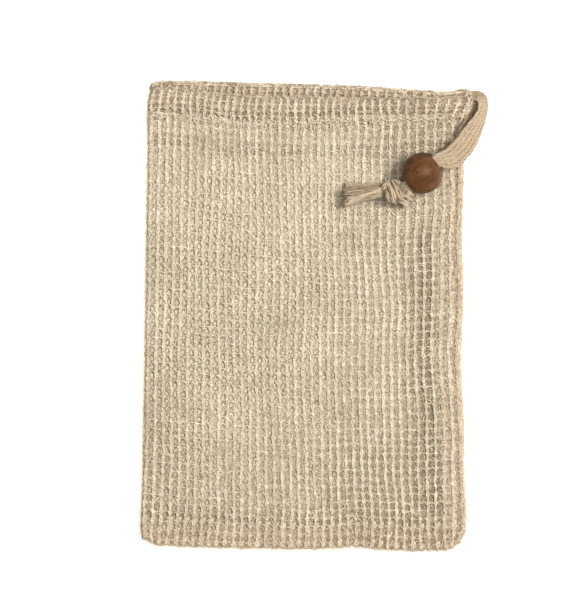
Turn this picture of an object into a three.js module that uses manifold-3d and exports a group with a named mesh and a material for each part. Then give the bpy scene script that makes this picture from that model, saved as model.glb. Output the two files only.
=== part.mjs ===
/**
 * Soap pouch of open cotton mesh, lying flat, with its drawstring ends drawn
 * through a wooden bead and knotted.
 *
 * Millimetres. X runs across the pouch from its fold to its side seam, Y from
 * its bottom seam to its mouth, and Z up from the surface it lies on. The
 * origin lies on that surface, under the middle of the cloth.
 */
import * as THREE from 'three';
import { mergeVertices } from 'three/addons/utils/BufferGeometryUtils.js';
import Module from 'manifold-3d';

const wasm = await Module();
wasm.setup();

// Driving dimensions

const CLOTH = {
  width: 93.5, // fold to side seam, along the cloth
  height: 132.5, // bottom seam to front rim, along the cloth
  ribs: 40,
  ribRise: 0.36, // of a rib over the furrow beside it
  edgeRound: 1.35, // how far in the rounding of an edge reaches
  edgeLip: 0.2, // flat left on a rounded edge
  roomColumns: 10,
};

const SEAM = {
  side: 6.7, // seam allowance inside the side seam
  bottom: 7.3, // and inside the bottom seam
  rise: 1.2, // of the front over those two extra plies
  slope: 8, // how far the front takes to come down again
};

const HEM = {
  stitch: 7.2, // front rim to the row of stitches
  turned: 13.6, // front rim to the raw edge of the turned ply
  top: 7.0,
  layer: 3.3, // one wall, the tape and the other wall
  channelDepth: 3.5, // rim to the middle of the channel
  tapeEnd: 0.4, // side seam to the end of the tape inside
  beyond: 4, // how far the cut of the channel reaches past the cloth
};

const TAPE = {
  channelWidth: 5.4, // the tape is 6 wide when flat, and cups a little in the channel
  channelThickness: 0.8,
  clearance: 0.3,
  endSteps: 34, // rings along each free end
  tailSteps: 10,
};

const BEAD = {
  radius: 6,
  boreRadius: 2.6,
  centre: new THREE.Vector3(33.2, 41.6, 9.65),
  axis: new THREE.Vector3(-0.78, -0.62, -0.1).normalize(),
};

const KNOT = {
  throat: 2.1, // radius of the hollow where the tape ends run in
  core: { x: 26.2, y: 36.1, z: 6.8, length: 8.4, width: 6.6, height: 6.4, turn: 16 },
  lobe: { x: 28.6, y: 34.9, z: 6.2, length: 5.4, width: 4.6, height: 5.4, turn: -35 },
  wrap: { x: 24.9, y: 36.3, z: 6.9, radius: 3.25, band: 4.6, thickness: 1.5, turn: 18 },
};

// Outlines of the cloth as it lies, each from one corner to the next

const FOLD_EDGE = [
  { x: -48.9, y: -65.9 },
  { x: -49.7, y: -64.6 },
  { x: -49.2, y: -60 },
  { x: -48.7, y: -44 },
  { x: -48.2, y: -20 },
  { x: -47.7, y: 14 },
  { x: -47.2, y: 46 },
  { x: -47.1, y: 62 },
  { x: -46.7, y: 67.0 },
];

const SEAM_EDGE = [
  { x: 44.3, y: -65.9 },
  { x: 45.7, y: -64.2 },
  { x: 46.3, y: -56 },
  { x: 45.7, y: -46 },
  { x: 45.5, y: -33 },
  { x: 44.6, y: -11 },
  { x: 45.4, y: 6 },
  { x: 44.9, y: 20 },
  { x: 45.3, y: 36 },
  { x: 45.4, y: 51 },
  { x: 46.5, y: 58 },
  { x: 49.2, y: 64.3 },
];

const BOTTOM_EDGE = [
  { x: -48.9, y: -65.9 },
  { x: -46.3, y: -66.8 },
  { x: -36, y: -67.6 },
  { x: -12, y: -68.2 },
  { x: 5, y: -68.2 },
  { x: 13, y: -67.7 },
  { x: 20, y: -68.3 },
  { x: 31.6, y: -68.9 },
  { x: 41, y: -68.0 },
  { x: 44.3, y: -65.9 },
];

const FRONT_RIM = [
  { x: -46.7, y: 67.0 },
  { x: -38, y: 66.8 },
  { x: -30, y: 66.0 },
  { x: -20, y: 65.0 },
  { x: -8, y: 64.4 },
  { x: 8, y: 64.3 },
  { x: 24, y: 64.0 },
  { x: 40, y: 64.2 },
  { x: 49.2, y: 64.3 },
];

const BACK_RIM = [
  { x: -46.7, y: 67.0 },
  { x: -44, y: 68.7 },
  { x: -32, y: 68.8 },
  { x: -14, y: 68.3 },
  { x: 4, y: 67.9 },
  { x: 20, y: 67.3 },
  { x: 34, y: 66.4 },
  { x: 42, y: 65.9 },
  { x: 46.4, y: 66.5 },
  { x: 48.6, y: 65.9 },
  { x: 49.2, y: 64.3 },
];

// Top of the front over the surface, by distance from its rim

const FRONT_TOP = [
  { fromRim: 0, height: 7.0 },
  { fromRim: 5.8, height: 6.9 },
  { fromRim: 7.2, height: 4.7 },
  { fromRim: 10, height: 4.9 },
  { fromRim: 13.4, height: 4.7 },
  { fromRim: 15.5, height: 3.6 },
  { fromRim: 19, height: 2.9 },
  { fromRim: 24, height: 2.7 },
];

// Thickness of the front or of the back, by distance from its rim

const WALL = [
  { fromRim: 0, thickness: 3.3 },
  { fromRim: 5.8, thickness: 3.2 },
  { fromRim: 7.2, thickness: 2.2 },
  { fromRim: 13.6, thickness: 2.1 },
  { fromRim: 15, thickness: 1.1 },
];

// How far the room inside stays from the fold and from the side seam

const INSIDE = [
  { fromRim: 0, fromFold: 3.5, fromSeam: 2.4 },
  { fromRim: 6.6, fromFold: 3.4, fromSeam: 2.4 },
  { fromRim: 7.6, fromFold: 2.2, fromSeam: 6.7 },
  { fromRim: 15, fromFold: 1.4, fromSeam: 6.7 },
];

// Soft ridges and troughs of the front, where the slack cloth lies uneven

const CREASES = [
  { x: -22, y: 44, length: 46, width: 13, turn: -6, rise: 0.45 },
  { x: 12, y: 47, length: 40, width: 11, turn: 4, rise: -0.3 },
  { x: 33, y: 12, length: 60, width: 12, turn: 88, rise: 0.4 },
  { x: -34, y: -8, length: 60, width: 16, turn: 96, rise: 0.4 },
  { x: 4, y: -20, length: 64, width: 20, turn: 72, rise: -0.25 },
  { x: -8, y: -52, length: 70, width: 12, turn: 3, rise: 0.4 },
];

// The drawstring's free ends. Turn is the roll of the tape about its run.

const BACK_END = [
  { x: 48.5, y: 61.0, z: 1.65, width: 3.4, thickness: 0.8, turn: 0 },
  { x: 49.8, y: 61.4, z: 1.85, width: 3.8, thickness: 0.8, turn: -20 },
  { x: 51.1, y: 62.0, z: 2.6, width: 4.4, thickness: 0.8, turn: -46 },
  { x: 51.6, y: 60.9, z: 3.7, width: 5.4, thickness: 0.7, turn: -66 },
  { x: 51.3, y: 59.1, z: 4.9, width: 6.0, thickness: 0.7, turn: -64 },
  { x: 50.0, y: 56.6, z: 6.3, width: 6.0, thickness: 0.7, turn: -48 },
  { x: 47.7, y: 53.6, z: 7.7, width: 6.0, thickness: 0.7, turn: -28 },
  { x: 44.6, y: 50.3, z: 9.1, width: 6.0, thickness: 0.7, turn: -10 },
  { x: 41.4, y: 47.8, z: 10.4, width: 5.0, thickness: 0.9, turn: 0 },
];

const FRONT_END = [
  { x: 48.2, y: 60.4, z: 5.35, width: 2.6, thickness: 1.0, turn: 0 },
  { x: 48.9, y: 60.2, z: 5.4, width: 2.6, thickness: 0.9, turn: -24 },
  { x: 49.4, y: 59.2, z: 5.4, width: 3.0, thickness: 0.8, turn: -56 },
  { x: 49.2, y: 57.6, z: 5.4, width: 4.2, thickness: 0.8, turn: -60 },
  { x: 48.1, y: 55.6, z: 5.7, width: 5.4, thickness: 0.7, turn: -46 },
  { x: 46.4, y: 53.2, z: 6.4, width: 6.0, thickness: 0.7, turn: -28 },
  { x: 43.9, y: 50.0, z: 7.8, width: 6.0, thickness: 0.7, turn: -10 },
  { x: 40.9, y: 47.4, z: 8.9, width: 5.0, thickness: 0.9, turn: 0 },
];

// Both are squeezed through the bead's bore, one above the other

const IN_BORE = { width: 3.0, thickness: 1.5, apart: 1.8 };

// The two cut tails beyond the knot

const FRONT_TAIL = [
  { x: 24.5, y: 36.6, z: 7.2, width: 4.2, thickness: 1.2, turn: 12 },
  { x: 20.6, y: 36.0, z: 6.6, width: 4.6, thickness: 1.2, turn: 16 },
  { x: 15.6, y: 35.0, z: 5.6, width: 5.4, thickness: 1.0, turn: 12 },
  { x: 10.5, y: 34.4, z: 5.0, width: 6.0, thickness: 0.9, turn: 8 },
];

const BACK_TAIL = [
  { x: 24.5, y: 36.8, z: 5.9, width: 4.0, thickness: 1.2, turn: 0 },
  { x: 20.4, y: 36.9, z: 5.0, width: 4.6, thickness: 1.2, turn: 0 },
  { x: 15.4, y: 36.9, z: 4.2, width: 5.2, thickness: 1.0, turn: -4 },
  { x: 10.9, y: 37.0, z: 3.9, width: 5.6, thickness: 0.8, turn: -6 },
];

// Where the grid of the cloth has its rows, from the bottom seam and from the rim

const ROWS_FROM_BOTTOM = [0, 0.2, 0.6, 1.35, 4, 7.3, 10.5, 15, 28, 42, 56, 70, 84, 98, 108];
const ROWS_FROM_RIM = [24, 19, 15.5, 13.4, 10, 8, 7.2, 5.8, 3.5, 1.65, 0.7, 0.2, 0];
const EDGE_COLUMNS = [0, 0.15, 0.5];

// Small helpers

const mm = (row) => new THREE.Vector3(row.x, row.y, row.z ?? 0);
const curve = (rows) => new THREE.SplineCurve(rows.map((row) => new THREE.Vector2(row.x, row.y)));
const clamp = THREE.MathUtils.clamp;
const radians = THREE.MathUtils.degToRad;

/** Reads a column of a short table at a distance, straight between its rows. */
function readAt(table, column, fromRim) {
  const next = table.findIndex((row) => row.fromRim > fromRim);
  if (next < 0) {
    return table[table.length - 1][column];
  }
  if (next === 0) {
    return table[0][column];
  }
  const [a, b] = [table[next - 1], table[next]];
  const share = (fromRim - a.fromRim) / (b.fromRim - a.fromRim);
  return THREE.MathUtils.lerp(a[column], b[column], share);
}

/** How full a rounded edge is at a distance in from it: 0 at the edge, 1 past its rounding. */
function fullness(distance, radius) {
  const short = 1 - clamp(distance / radius, 0, 1);
  return Math.sqrt(1 - short * short);
}

/** Falls smoothly from 1 to 0 as the distance grows from start to end. */
function fade(distance, start, end) {
  return 1 - THREE.MathUtils.smoothstep(distance, start, end);
}

// Solids from triangles

/** A closed solid from triangles of points, turned so that its faces point out. */
function solidOf(triangles) {
  const volume = triangles.reduce((sum, [a, b, c]) => sum + a.dot(b.clone().cross(c)), 0);
  const outward = volume > 0 ? triangles : turned(triangles);
  const positions = outward.flat().flatMap((point) => [point.x, point.y, point.z]);
  const geometry = new THREE.BufferGeometry();
  geometry.setAttribute('position', new THREE.Float32BufferAttribute(positions, 3));
  return solidFrom(geometry);
}

/** The solid that a closed geometry bounds. */
function solidFrom(geometry) {
  const bare = geometry.clone();
  bare.deleteAttribute('normal');
  bare.deleteAttribute('uv');
  const merged = mergeVertices(bare, 1e-4);
  return new wasm.Manifold(new wasm.Mesh({
    numProp: 3,
    vertProperties: new Float32Array(merged.attributes.position.array),
    triVerts: new Uint32Array(merged.index.array),
  }));
}

/** The geometry of a solid. */
function geometryOf(solid) {
  const mesh = solid.getMesh();
  const geometry = new THREE.BufferGeometry();
  geometry.setAttribute('position', new THREE.BufferAttribute(mesh.vertProperties, 3));
  geometry.setIndex(new THREE.BufferAttribute(mesh.triVerts, 1));
  geometry.computeVertexNormals();
  return geometry;
}

/** Joins two chains of points, which may differ in number, by a strip of triangles. */
function stripBetween(upper, lower) {
  const triangles = [];
  let i = 0;
  let j = 0;
  while (i < upper.length - 1 || j < lower.length - 1) {
    const upperLeft = i < upper.length - 1;
    const lowerLeft = j < lower.length - 1;
    const alongUpper = upperLeft && (!lowerLeft
      || upper[i + 1].distanceTo(lower[j]) <= upper[i].distanceTo(lower[j + 1]));
    if (alongUpper) {
      triangles.push([upper[i], lower[j], upper[i + 1]]);
      i += 1;
    } else {
      triangles.push([upper[i], lower[j], lower[j + 1]]);
      j += 1;
    }
  }
  return triangles;
}

/** The faces of a grid of points, seen from above. */
function gridFaces(grid) {
  return grid.slice(1).flatMap((row, r) => row.slice(1).flatMap((far, c) => {
    const near = grid[r];
    return [
      [near[c], near[c + 1], far],
      [near[c], far, row[c]],
    ];
  }));
}

/** The four borders of a grid: near, right, far and left, as one round. */
function bordersOf(grid) {
  return [
    grid[0],
    grid.map((row) => row[row.length - 1]),
    [...grid[grid.length - 1]].reverse(),
    grid.map((row) => row[0]).reverse(),
  ];
}

/** An upper and a lower grid with walls between them at three sides, open at the far one. */
function openSlab(upper, lower) {
  const [top, bottom] = [bordersOf(upper), bordersOf(lower)];
  const walls = [0, 1, 3].flatMap((side) => stripBetween(top[side], bottom[side]));
  return [...gridFaces(upper), ...turned(gridFaces(lower)), ...walls];
}

/** The same triangles, facing the other way. */
function turned(triangles) {
  return triangles.map(([a, b, c]) => [a, c, b]);
}

/** A bag: one open slab inside another, joined round the mouth at their far side. */
function bagBetween(upper, lower, ceiling, floor) {
  const [top, bottom, roof, ground] = [upper, lower, ceiling, floor].map((grid) => bordersOf(grid)[2]);
  const corners = [top, roof, ground, bottom];
  const [a, b, c, d] = corners.map((chain) => chain[0]);
  const [e, f, g, h] = corners.map((chain) => chain[chain.length - 1]);
  return solidOf([
    ...openSlab(upper, lower),
    ...turned(openSlab(ceiling, floor)),
    ...stripBetween(top, roof),
    ...stripBetween(ground, bottom),
    [a, c, b],
    [a, d, c],
    [e, f, g],
    [e, g, h],
  ]);
}

/** A solid through rings of points, with flat ends. */
function loft(rings) {
  const triangles = [];
  const count = rings[0].length;
  for (let r = 1; r < rings.length; r += 1) {
    for (let k = 0; k < count; k += 1) {
      const next = (k + 1) % count;
      triangles.push([rings[r - 1][k], rings[r - 1][next], rings[r][next]]);
      triangles.push([rings[r - 1][k], rings[r][next], rings[r][k]]);
    }
  }
  const last = rings[rings.length - 1];
  for (let k = 1; k < count - 1; k += 1) {
    triangles.push([rings[0][0], rings[0][k + 1], rings[0][k]]);
    triangles.push([last[0], last[k], last[k + 1]]);
  }
  return solidOf(triangles);
}

/** A flat section with round ends, as a ring of ten points. */
function flatRing(centre, across, up, width, thickness) {
  const half = width / 2 - thickness / 2;
  const corners = [-70, -25, 25, 70].map(radians);
  const side = (sign) => corners.map((angle) => ({
    a: sign * (half + Math.cos(angle) * thickness / 2),
    b: sign * Math.sin(angle) * thickness / 2,
  }));
  const flat = [...side(1), { a: 0, b: thickness / 2 }, ...side(-1), { a: 0, b: -thickness / 2 }];
  return flat.map(({ a, b }) => centre.clone().addScaledVector(across, a).addScaledVector(up, b));
}

/** A tape along a table of places, widths and rolls. */
function tapeAlong(rows, steps) {
  const path = new THREE.CatmullRomCurve3(rows.map(mm), false, 'centripetal');
  const column = (name, t) => {
    const place = t * (rows.length - 1);
    const low = Math.min(Math.floor(place), rows.length - 2);
    return THREE.MathUtils.lerp(rows[low][name], rows[low + 1][name], place - low);
  };
  const rings = [];
  for (let step = 0; step <= steps; step += 1) {
    const t = step / steps;
    const run = path.getTangent(t);
    const side = new THREE.Vector3(0, 0, 1).cross(run).normalize();
    const across = side.applyAxisAngle(run, radians(column('turn', t)));
    const up = run.clone().cross(across);
    rings.push(flatRing(path.getPoint(t), across, up, column('width', t), column('thickness', t)));
  }
  return loft(rings);
}

// The cloth

const EDGES = {
  fold: curve(FOLD_EDGE),
  seam: curve(SEAM_EDGE),
  bottom: curve(BOTTOM_EDGE),
  front: curve(FRONT_RIM),
  back: curve(BACK_RIM),
};

/**
 * A place on a lying ply: u runs from the fold to the side seam and v from the
 * bottom seam to the rim. The ply fills its four edges evenly.
 */
function placeOn(rim, u, v) {
  const bottom = EDGES.bottom.getPointAt(u);
  const top = rim.getPointAt(u);
  const left = EDGES.fold.getPointAt(v);
  const right = EDGES.seam.getPointAt(v);
  const blend = (axis) => {
    const ends = (1 - v) * bottom[axis] + v * top[axis];
    const sides = (1 - u) * left[axis] + u * right[axis];
    const nearCorners = (1 - u) * EDGES.bottom.getPoint(0)[axis] + u * EDGES.bottom.getPoint(1)[axis];
    const farCorners = (1 - u) * rim.getPoint(0)[axis] + u * rim.getPoint(1)[axis];
    return ends + sides - (1 - v) * nearCorners - v * farCorners;
  };
  return new THREE.Vector3(blend('x'), blend('y'), 0);
}

/** Rise of the front over its creases at a place. */
function creaseRise(place) {
  return CREASES.reduce((sum, crease) => {
    const turn = radians(crease.turn);
    const [dx, dy] = [place.x - crease.x, place.y - crease.y];
    const along = (dx * Math.cos(turn) + dy * Math.sin(turn)) / (crease.length / 2);
    const across = (dy * Math.cos(turn) - dx * Math.sin(turn)) / (crease.width / 2);
    return sum + crease.rise * Math.exp(-(along * along + across * across));
  }, 0);
}

/** Distances of a place on a ply from each of its edges. */
function distances(u, v) {
  return {
    fold: u * CLOTH.width,
    seam: (1 - u) * CLOTH.width,
    bottom: v * CLOTH.height,
    rim: (1 - v) * CLOTH.height,
  };
}

/** Height of the top of the front, before its edges are rounded and its ribs raised. */
function frontTop(u, v, place) {
  const from = distances(u, v);
  const body = readAt(FRONT_TOP, 'height', from.rim);
  const overSeam = Math.max(
    fade(from.seam, SEAM.side, SEAM.side + SEAM.slope),
    fade(from.bottom, SEAM.bottom, SEAM.bottom + SEAM.slope),
  );
  const belowHem = 1 - fade(from.rim, HEM.turned, HEM.turned + SEAM.slope);
  return body + (SEAM.rise * overSeam + creaseRise(place)) * belowHem;
}

/** How full the cloth is at its edges. The ends of the hem at the side seam stay blunt. */
function edgeFullness(u, v) {
  const from = distances(u, v);
  const fold = fullness(from.fold, from.rim < HEM.turned ? HEM.layer / 2 : CLOTH.edgeRound);
  const bottom = fullness(from.bottom, CLOTH.edgeRound);
  const seam = fullness(from.seam, CLOTH.edgeRound);
  const blunt = fade(from.rim, HEM.stitch, HEM.turned);
  return fold * bottom * THREE.MathUtils.lerp(seam, 0.85 + 0.15 * seam, blunt);
}

const across = (distance) => distance / CLOTH.width;
const columnsOfRibs = Array.from({ length: 2 * CLOTH.ribs - 1 }, (_, k) => (k + 1) / (2 * CLOTH.ribs));
const COLUMNS = [
  ...EDGE_COLUMNS.map(across),
  ...columnsOfRibs,
  ...EDGE_COLUMNS.map((distance) => 1 - across(distance)).reverse(),
];
const ROWS = [
  ...ROWS_FROM_BOTTOM.map((distance) => distance / CLOTH.height),
  ...ROWS_FROM_RIM.map((distance) => 1 - distance / CLOTH.height),
];

/** The outer top of the front, ribs and all. */
function frontGrid() {
  return ROWS.map((v) => COLUMNS.map((u) => {
    const place = placeOn(EDGES.front, u, v);
    const fromRim = distances(u, v).rim;
    const top = frontTop(u, v, place);
    const rim = fullness(fromRim, HEM.layer / 2);
    const rounded = top - (1 - rim) * readAt(WALL, 'thickness', fromRim) / 2;
    const middle = top / 2 + CLOTH.edgeLip / 2;
    const rib = -Math.cos(2 * Math.PI * CLOTH.ribs * u) * CLOTH.ribRise / 2;
    place.z = middle + (rounded - middle + rib * rim) * edgeFullness(u, v);
    return place;
  }));
}

/** The outer underside of the back, flat on the surface, on every fourth column. */
function backGrid() {
  const columns = [
    ...EDGE_COLUMNS.map(across),
    ...columnsOfRibs.filter((_, k) => k % 4 === 3),
    ...EDGE_COLUMNS.map((distance) => 1 - across(distance)).reverse(),
  ];
  return ROWS.map((v) => columns.map((u) => {
    const place = placeOn(EDGES.back, u, v);
    const middle = frontTop(u, v, place) / 2 - CLOTH.edgeLip / 2;
    const lifted = (1 - fullness(distances(u, v).rim, HEM.layer / 2)) * HEM.layer / 2;
    place.z = lifted + (middle - lifted) * (1 - edgeFullness(u, v));
    return place;
  }));
}

/** One side of the room inside, its height worked out from the place and half the wall there. */
function roomGrid(rim, heightAt) {
  const rows = ROWS.filter((v) => distances(0, v).bottom >= SEAM.bottom);
  return rows.map((v) => {
    const fromRim = distances(0, v).rim;
    const low = across(readAt(INSIDE, 'fromFold', fromRim));
    const high = 1 - across(readAt(INSIDE, 'fromSeam', fromRim));
    const half = readAt(WALL, 'thickness', fromRim) / 2;
    return Array.from({ length: CLOTH.roomColumns + 1 }, (_, k) => {
      const u = THREE.MathUtils.lerp(low, high, k / CLOTH.roomColumns);
      const place = placeOn(rim, u, v);
      const lip = CLOTH.edgeLip / 2;
      const flared = lip + (half - lip) * fullness(fromRim, half);
      place.z = heightAt(u, v, place, half, flared);
      return place;
    });
  });
}

/** The underside of the front, which flares open at the mouth. */
function ceilingGrid() {
  return roomGrid(EDGES.front, (u, v, place, half, flared) => frontTop(u, v, place) - half - flared);
}

/** The upper side of the back, which flares open at the mouth too. */
function floorGrid() {
  return roomGrid(EDGES.back, (u, v, place, half, flared) => half + flared);
}

/** Places along the middle of the channel: through the front hem, round the fold, along the back. */
function channelPath() {
  const v = 1 - HEM.channelDepth / CLOTH.height;
  const high = HEM.top - HEM.layer / 2;
  const low = HEM.layer / 2;
  const radius = (high - low) / 2;
  const endU = 1 - across(HEM.tapeEnd);
  const startU = across(HEM.layer);
  const steps = 13;
  const run = Array.from({ length: steps + 1 }, (_, k) => THREE.MathUtils.lerp(endU, startU, k / steps));
  const front = run.map((u) => placeOn(EDGES.front, u, v).add({ x: 0, y: 0, z: high }));
  const back = run.map((u) => placeOn(EDGES.back, u, v).add({ x: 0, y: 0, z: low })).reverse();
  const [from, to] = [front[front.length - 1], back[0]];
  const turn = [30, 60, 90, 120, 150].map((angle) => {
    const place = from.clone().lerp(to, angle / 180);
    place.x -= Math.sin(radians(angle)) * radius;
    place.z = (high + low) / 2 + Math.cos(radians(angle)) * radius;
    return place;
  });
  return [...front, ...turn, ...back];
}

/** A flat section swept round the channel, its width along Y, and past its two ends. */
function sweepChannel(width, thickness, past) {
  const inner = channelPath();
  const outer = [inner[0], inner[inner.length - 1]].map((end) => end.clone().setX(end.x + past));
  const path = past > 0 ? [outer[0], ...inner, outer[1]] : inner;
  const across = new THREE.Vector3(0, 1, 0);
  return loft(path.map((place, k) => {
    const before = path[Math.max(k - 1, 0)];
    const after = path[Math.min(k + 1, path.length - 1)];
    const run = after.clone().sub(before).setY(0).normalize();
    return flatRing(place, across, run.cross(across), width, thickness);
  }));
}

/** The pouch: one cloth, folded, seamed, hemmed and hollow. */
function makePouch() {
  const channel = sweepChannel(
    TAPE.channelWidth + 2 * TAPE.clearance,
    TAPE.channelThickness + 2 * TAPE.clearance,
    HEM.beyond,
  );
  return bagBetween(frontGrid(), backGrid(), ceilingGrid(), floorGrid()).subtract(channel);
}

// The drawstring, its bead and its knot

/** The tape inside the channel. */
function makeChannelTape() {
  return sweepChannel(TAPE.channelWidth, TAPE.channelThickness, 0);
}

/** One free end: round the corner, over the front and through the bead. */
function makeFreeEnd(rows, side) {
  const up = new THREE.Vector3(0, 0, 1);
  const offset = up.addScaledVector(BEAD.axis, -BEAD.axis.z).setLength(side * IN_BORE.apart / 2);
  const inBore = [-1.12, -0.6, 0, 0.6, 0.95].map((share) => {
    const place = BEAD.centre.clone().addScaledVector(BEAD.axis, share * BEAD.radius).add(offset);
    return { x: place.x, y: place.y, z: place.z, ...IN_BORE, turn: 0 };
  });
  return tapeAlong([...rows, ...inBore], TAPE.endSteps);
}

/** The turned bead, bored through along its own Y. */
function makeBead() {
  const start = Math.asin(BEAD.boreRadius / BEAD.radius);
  const count = 12;
  const profile = Array.from({ length: count + 1 }, (_, k) => {
    const angle = THREE.MathUtils.lerp(start, Math.PI - start, k / count);
    return new THREE.Vector2(Math.sin(angle), -Math.cos(angle)).multiplyScalar(BEAD.radius);
  });
  return new THREE.LatheGeometry([...profile, profile[0].clone()], 28);
}

/** An egg of the knot's tape, from a row with its place and three sizes. */
function egg(row) {
  const geometry = new THREE.SphereGeometry(0.5, 16, 10);
  geometry.scale(row.length, row.width, row.height).rotateZ(radians(row.turn));
  return solidFrom(geometry.translate(row.x, row.y, row.z));
}

/** The flat band that wraps the knot once. */
function wrapBand({ x, y, z, radius, band, thickness, turn }) {
  const bow = 8;
  const profile = Array.from({ length: bow + 1 }, (_, k) => {
    const side = 2 * k / bow - 1;
    return new THREE.Vector2(radius + thickness * (0.5 - 0.45 * side * side), side * band / 2);
  });
  profile.push(new THREE.Vector2(radius - thickness, band / 2));
  profile.push(new THREE.Vector2(radius - thickness, -band / 2));
  const geometry = new THREE.LatheGeometry([...profile, profile[0].clone()], 24);
  geometry.rotateZ(Math.PI / 2).scale(1, 1.05, 0.92).rotateZ(radians(turn));
  return solidFrom(geometry.translate(x, y, z));
}

/** The knot and its two cut tails, pressed against the bead. */
function makeKnot() {
  const reach = BEAD.radius + TAPE.clearance;
  const mouth = BEAD.centre.clone().addScaledVector(BEAD.axis, reach);
  const room = new THREE.SphereGeometry(reach, 30, 20).translate(...BEAD.centre);
  const throat = new THREE.SphereGeometry(KNOT.throat, 12, 8).translate(...mouth);
  return egg(KNOT.core)
    .add(egg(KNOT.lobe))
    .add(wrapBand(KNOT.wrap))
    .add(tapeAlong(FRONT_TAIL, TAPE.tailSteps))
    .add(tapeAlong(BACK_TAIL, TAPE.tailSteps))
    .subtract(solidFrom(room))
    .subtract(solidFrom(throat));
}

// The finished pouch

const COTTON = new THREE.MeshStandardMaterial({ color: 0xcfbfa2, roughness: 0.95, metalness: 0 });
const TAPE_COTTON = new THREE.MeshStandardMaterial({ color: 0xc4ae8c, roughness: 0.95, metalness: 0 });
const WOOD = new THREE.MeshStandardMaterial({ color: 0x6e4f35, roughness: 0.45, metalness: 0 });

function named(name, geometry, material) {
  const mesh = new THREE.Mesh(geometry, material);
  mesh.name = name;
  return mesh;
}

const bead = named('bead', makeBead(), WOOD);
bead.position.copy(BEAD.centre);
bead.quaternion.setFromUnitVectors(new THREE.Vector3(0, 1, 0), BEAD.axis);

const pouch = new THREE.Group();
pouch.add(
  named('pouch', geometryOf(makePouch()), COTTON),
  named('drawstring_in_channel', geometryOf(makeChannelTape()), TAPE_COTTON),
  named('tape_end_back', geometryOf(makeFreeEnd(BACK_END, 1)), TAPE_COTTON),
  named('tape_end_front', geometryOf(makeFreeEnd(FRONT_END, -1)), TAPE_COTTON),
  bead,
  named('knot', geometryOf(makeKnot()), TAPE_COTTON),
);

export default pouch;
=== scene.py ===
"""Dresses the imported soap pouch: a net of cotton yarn, its drawstring tape with a
knot and a wooden bead, and the camera, floor and light of a plain product picture.

Everything is in metres, in the frame of the CAD model. X runs from the fold to
the side seam, Y from the bottom seam to the mouth, and Z up from the floor.
"""

import logging
import math
from collections.abc import Sequence
from dataclasses import dataclass
from enum import Enum
from functools import reduce

import bpy
import numpy as np
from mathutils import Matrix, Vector

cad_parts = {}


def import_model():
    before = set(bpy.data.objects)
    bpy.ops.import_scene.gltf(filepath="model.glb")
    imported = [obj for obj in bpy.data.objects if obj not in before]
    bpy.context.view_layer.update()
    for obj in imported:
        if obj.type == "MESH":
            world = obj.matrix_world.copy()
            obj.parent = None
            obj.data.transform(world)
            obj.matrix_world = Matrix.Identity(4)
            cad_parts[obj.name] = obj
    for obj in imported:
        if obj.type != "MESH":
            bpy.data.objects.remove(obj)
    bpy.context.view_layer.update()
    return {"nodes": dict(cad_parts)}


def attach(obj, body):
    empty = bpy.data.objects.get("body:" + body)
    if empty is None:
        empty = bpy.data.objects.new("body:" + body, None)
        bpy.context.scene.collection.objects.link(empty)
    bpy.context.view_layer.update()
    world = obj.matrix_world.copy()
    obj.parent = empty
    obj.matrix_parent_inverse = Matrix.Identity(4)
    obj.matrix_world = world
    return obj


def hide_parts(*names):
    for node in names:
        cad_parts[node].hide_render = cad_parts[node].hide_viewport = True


log = logging.getLogger("soap_pouch")
Array = np.ndarray
Span = tuple[float, float]
Falls = tuple[tuple[float, float, float], ...]
Colour = tuple[float, float, float]
BODY = "root"
TURN = 2 * math.pi
ACROSS = np.array([1.0, 0.0, 0.0])
ALONG = np.array([0.0, 1.0, 0.0])
UP = np.array([0.0, 0.0, 1.0])


class Slot(Enum):
    """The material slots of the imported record."""

    CLOTH = "mesh_cloth"
    TAPE = "tape"
    WOOD = "wood"


class Side(Enum):
    """The two plies of the folded cloth."""

    FRONT = "front"
    BACK = "back"


# Where the cells grow wider: X towards the seam, -Y towards the bottom and Y towards the hem
OPEN_RIGHT = (-0.012, 0.030)
OPEN_BOTTOM = (0.010, 0.046)
OPEN_TOP = (0.036, 0.052)
# X over which the bottom's openness grows from its least to its most
BOTTOM_SPREAD = (-0.036, 0.014)
BOTTOM_LEAST = 0.35


@dataclass(frozen=True)
class ShadeAndDarkeningPlaces:
    """Stretches of Y, -Y or X over which the painted shade and darkening of the cells grows or
    fades.
    """

    low: Span = (0.026, 0.044)
    low_fades: Span = (0.056, 0.061)
    low_from_fold: Span = (0.000, 0.018)
    high: Span = (0.038, 0.052)
    high_fades: Span = (0.0540, 0.0565)
    high_from_fold: Span = (0.010, 0.026)
    high_near_seam: Span = (0.032, 0.041)
    seam: Span = (0.036, 0.041)
    seam_ends: Span = (0.030, 0.045)


SHADE_AND_DARKENING = ShadeAndDarkeningPlaces()

# Soft patches of painted light and shade: middle, half width, half height and tone
LIGHT_AND_SHADE_PATCHES = [
    (-0.038, 0.048, 0.012, 0.012, 0.6), (0.007, 0.046, 0.014, 0.008, 0.7),
    (-0.012, 0.029, 0.016, 0.010, 0.5), (-0.024, -0.031, 0.011, 0.010, 0.5),
    (-0.044, -0.042, 0.008, 0.014, -0.8),
]

# Helpers for lines, tables and smooth random fields


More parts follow.
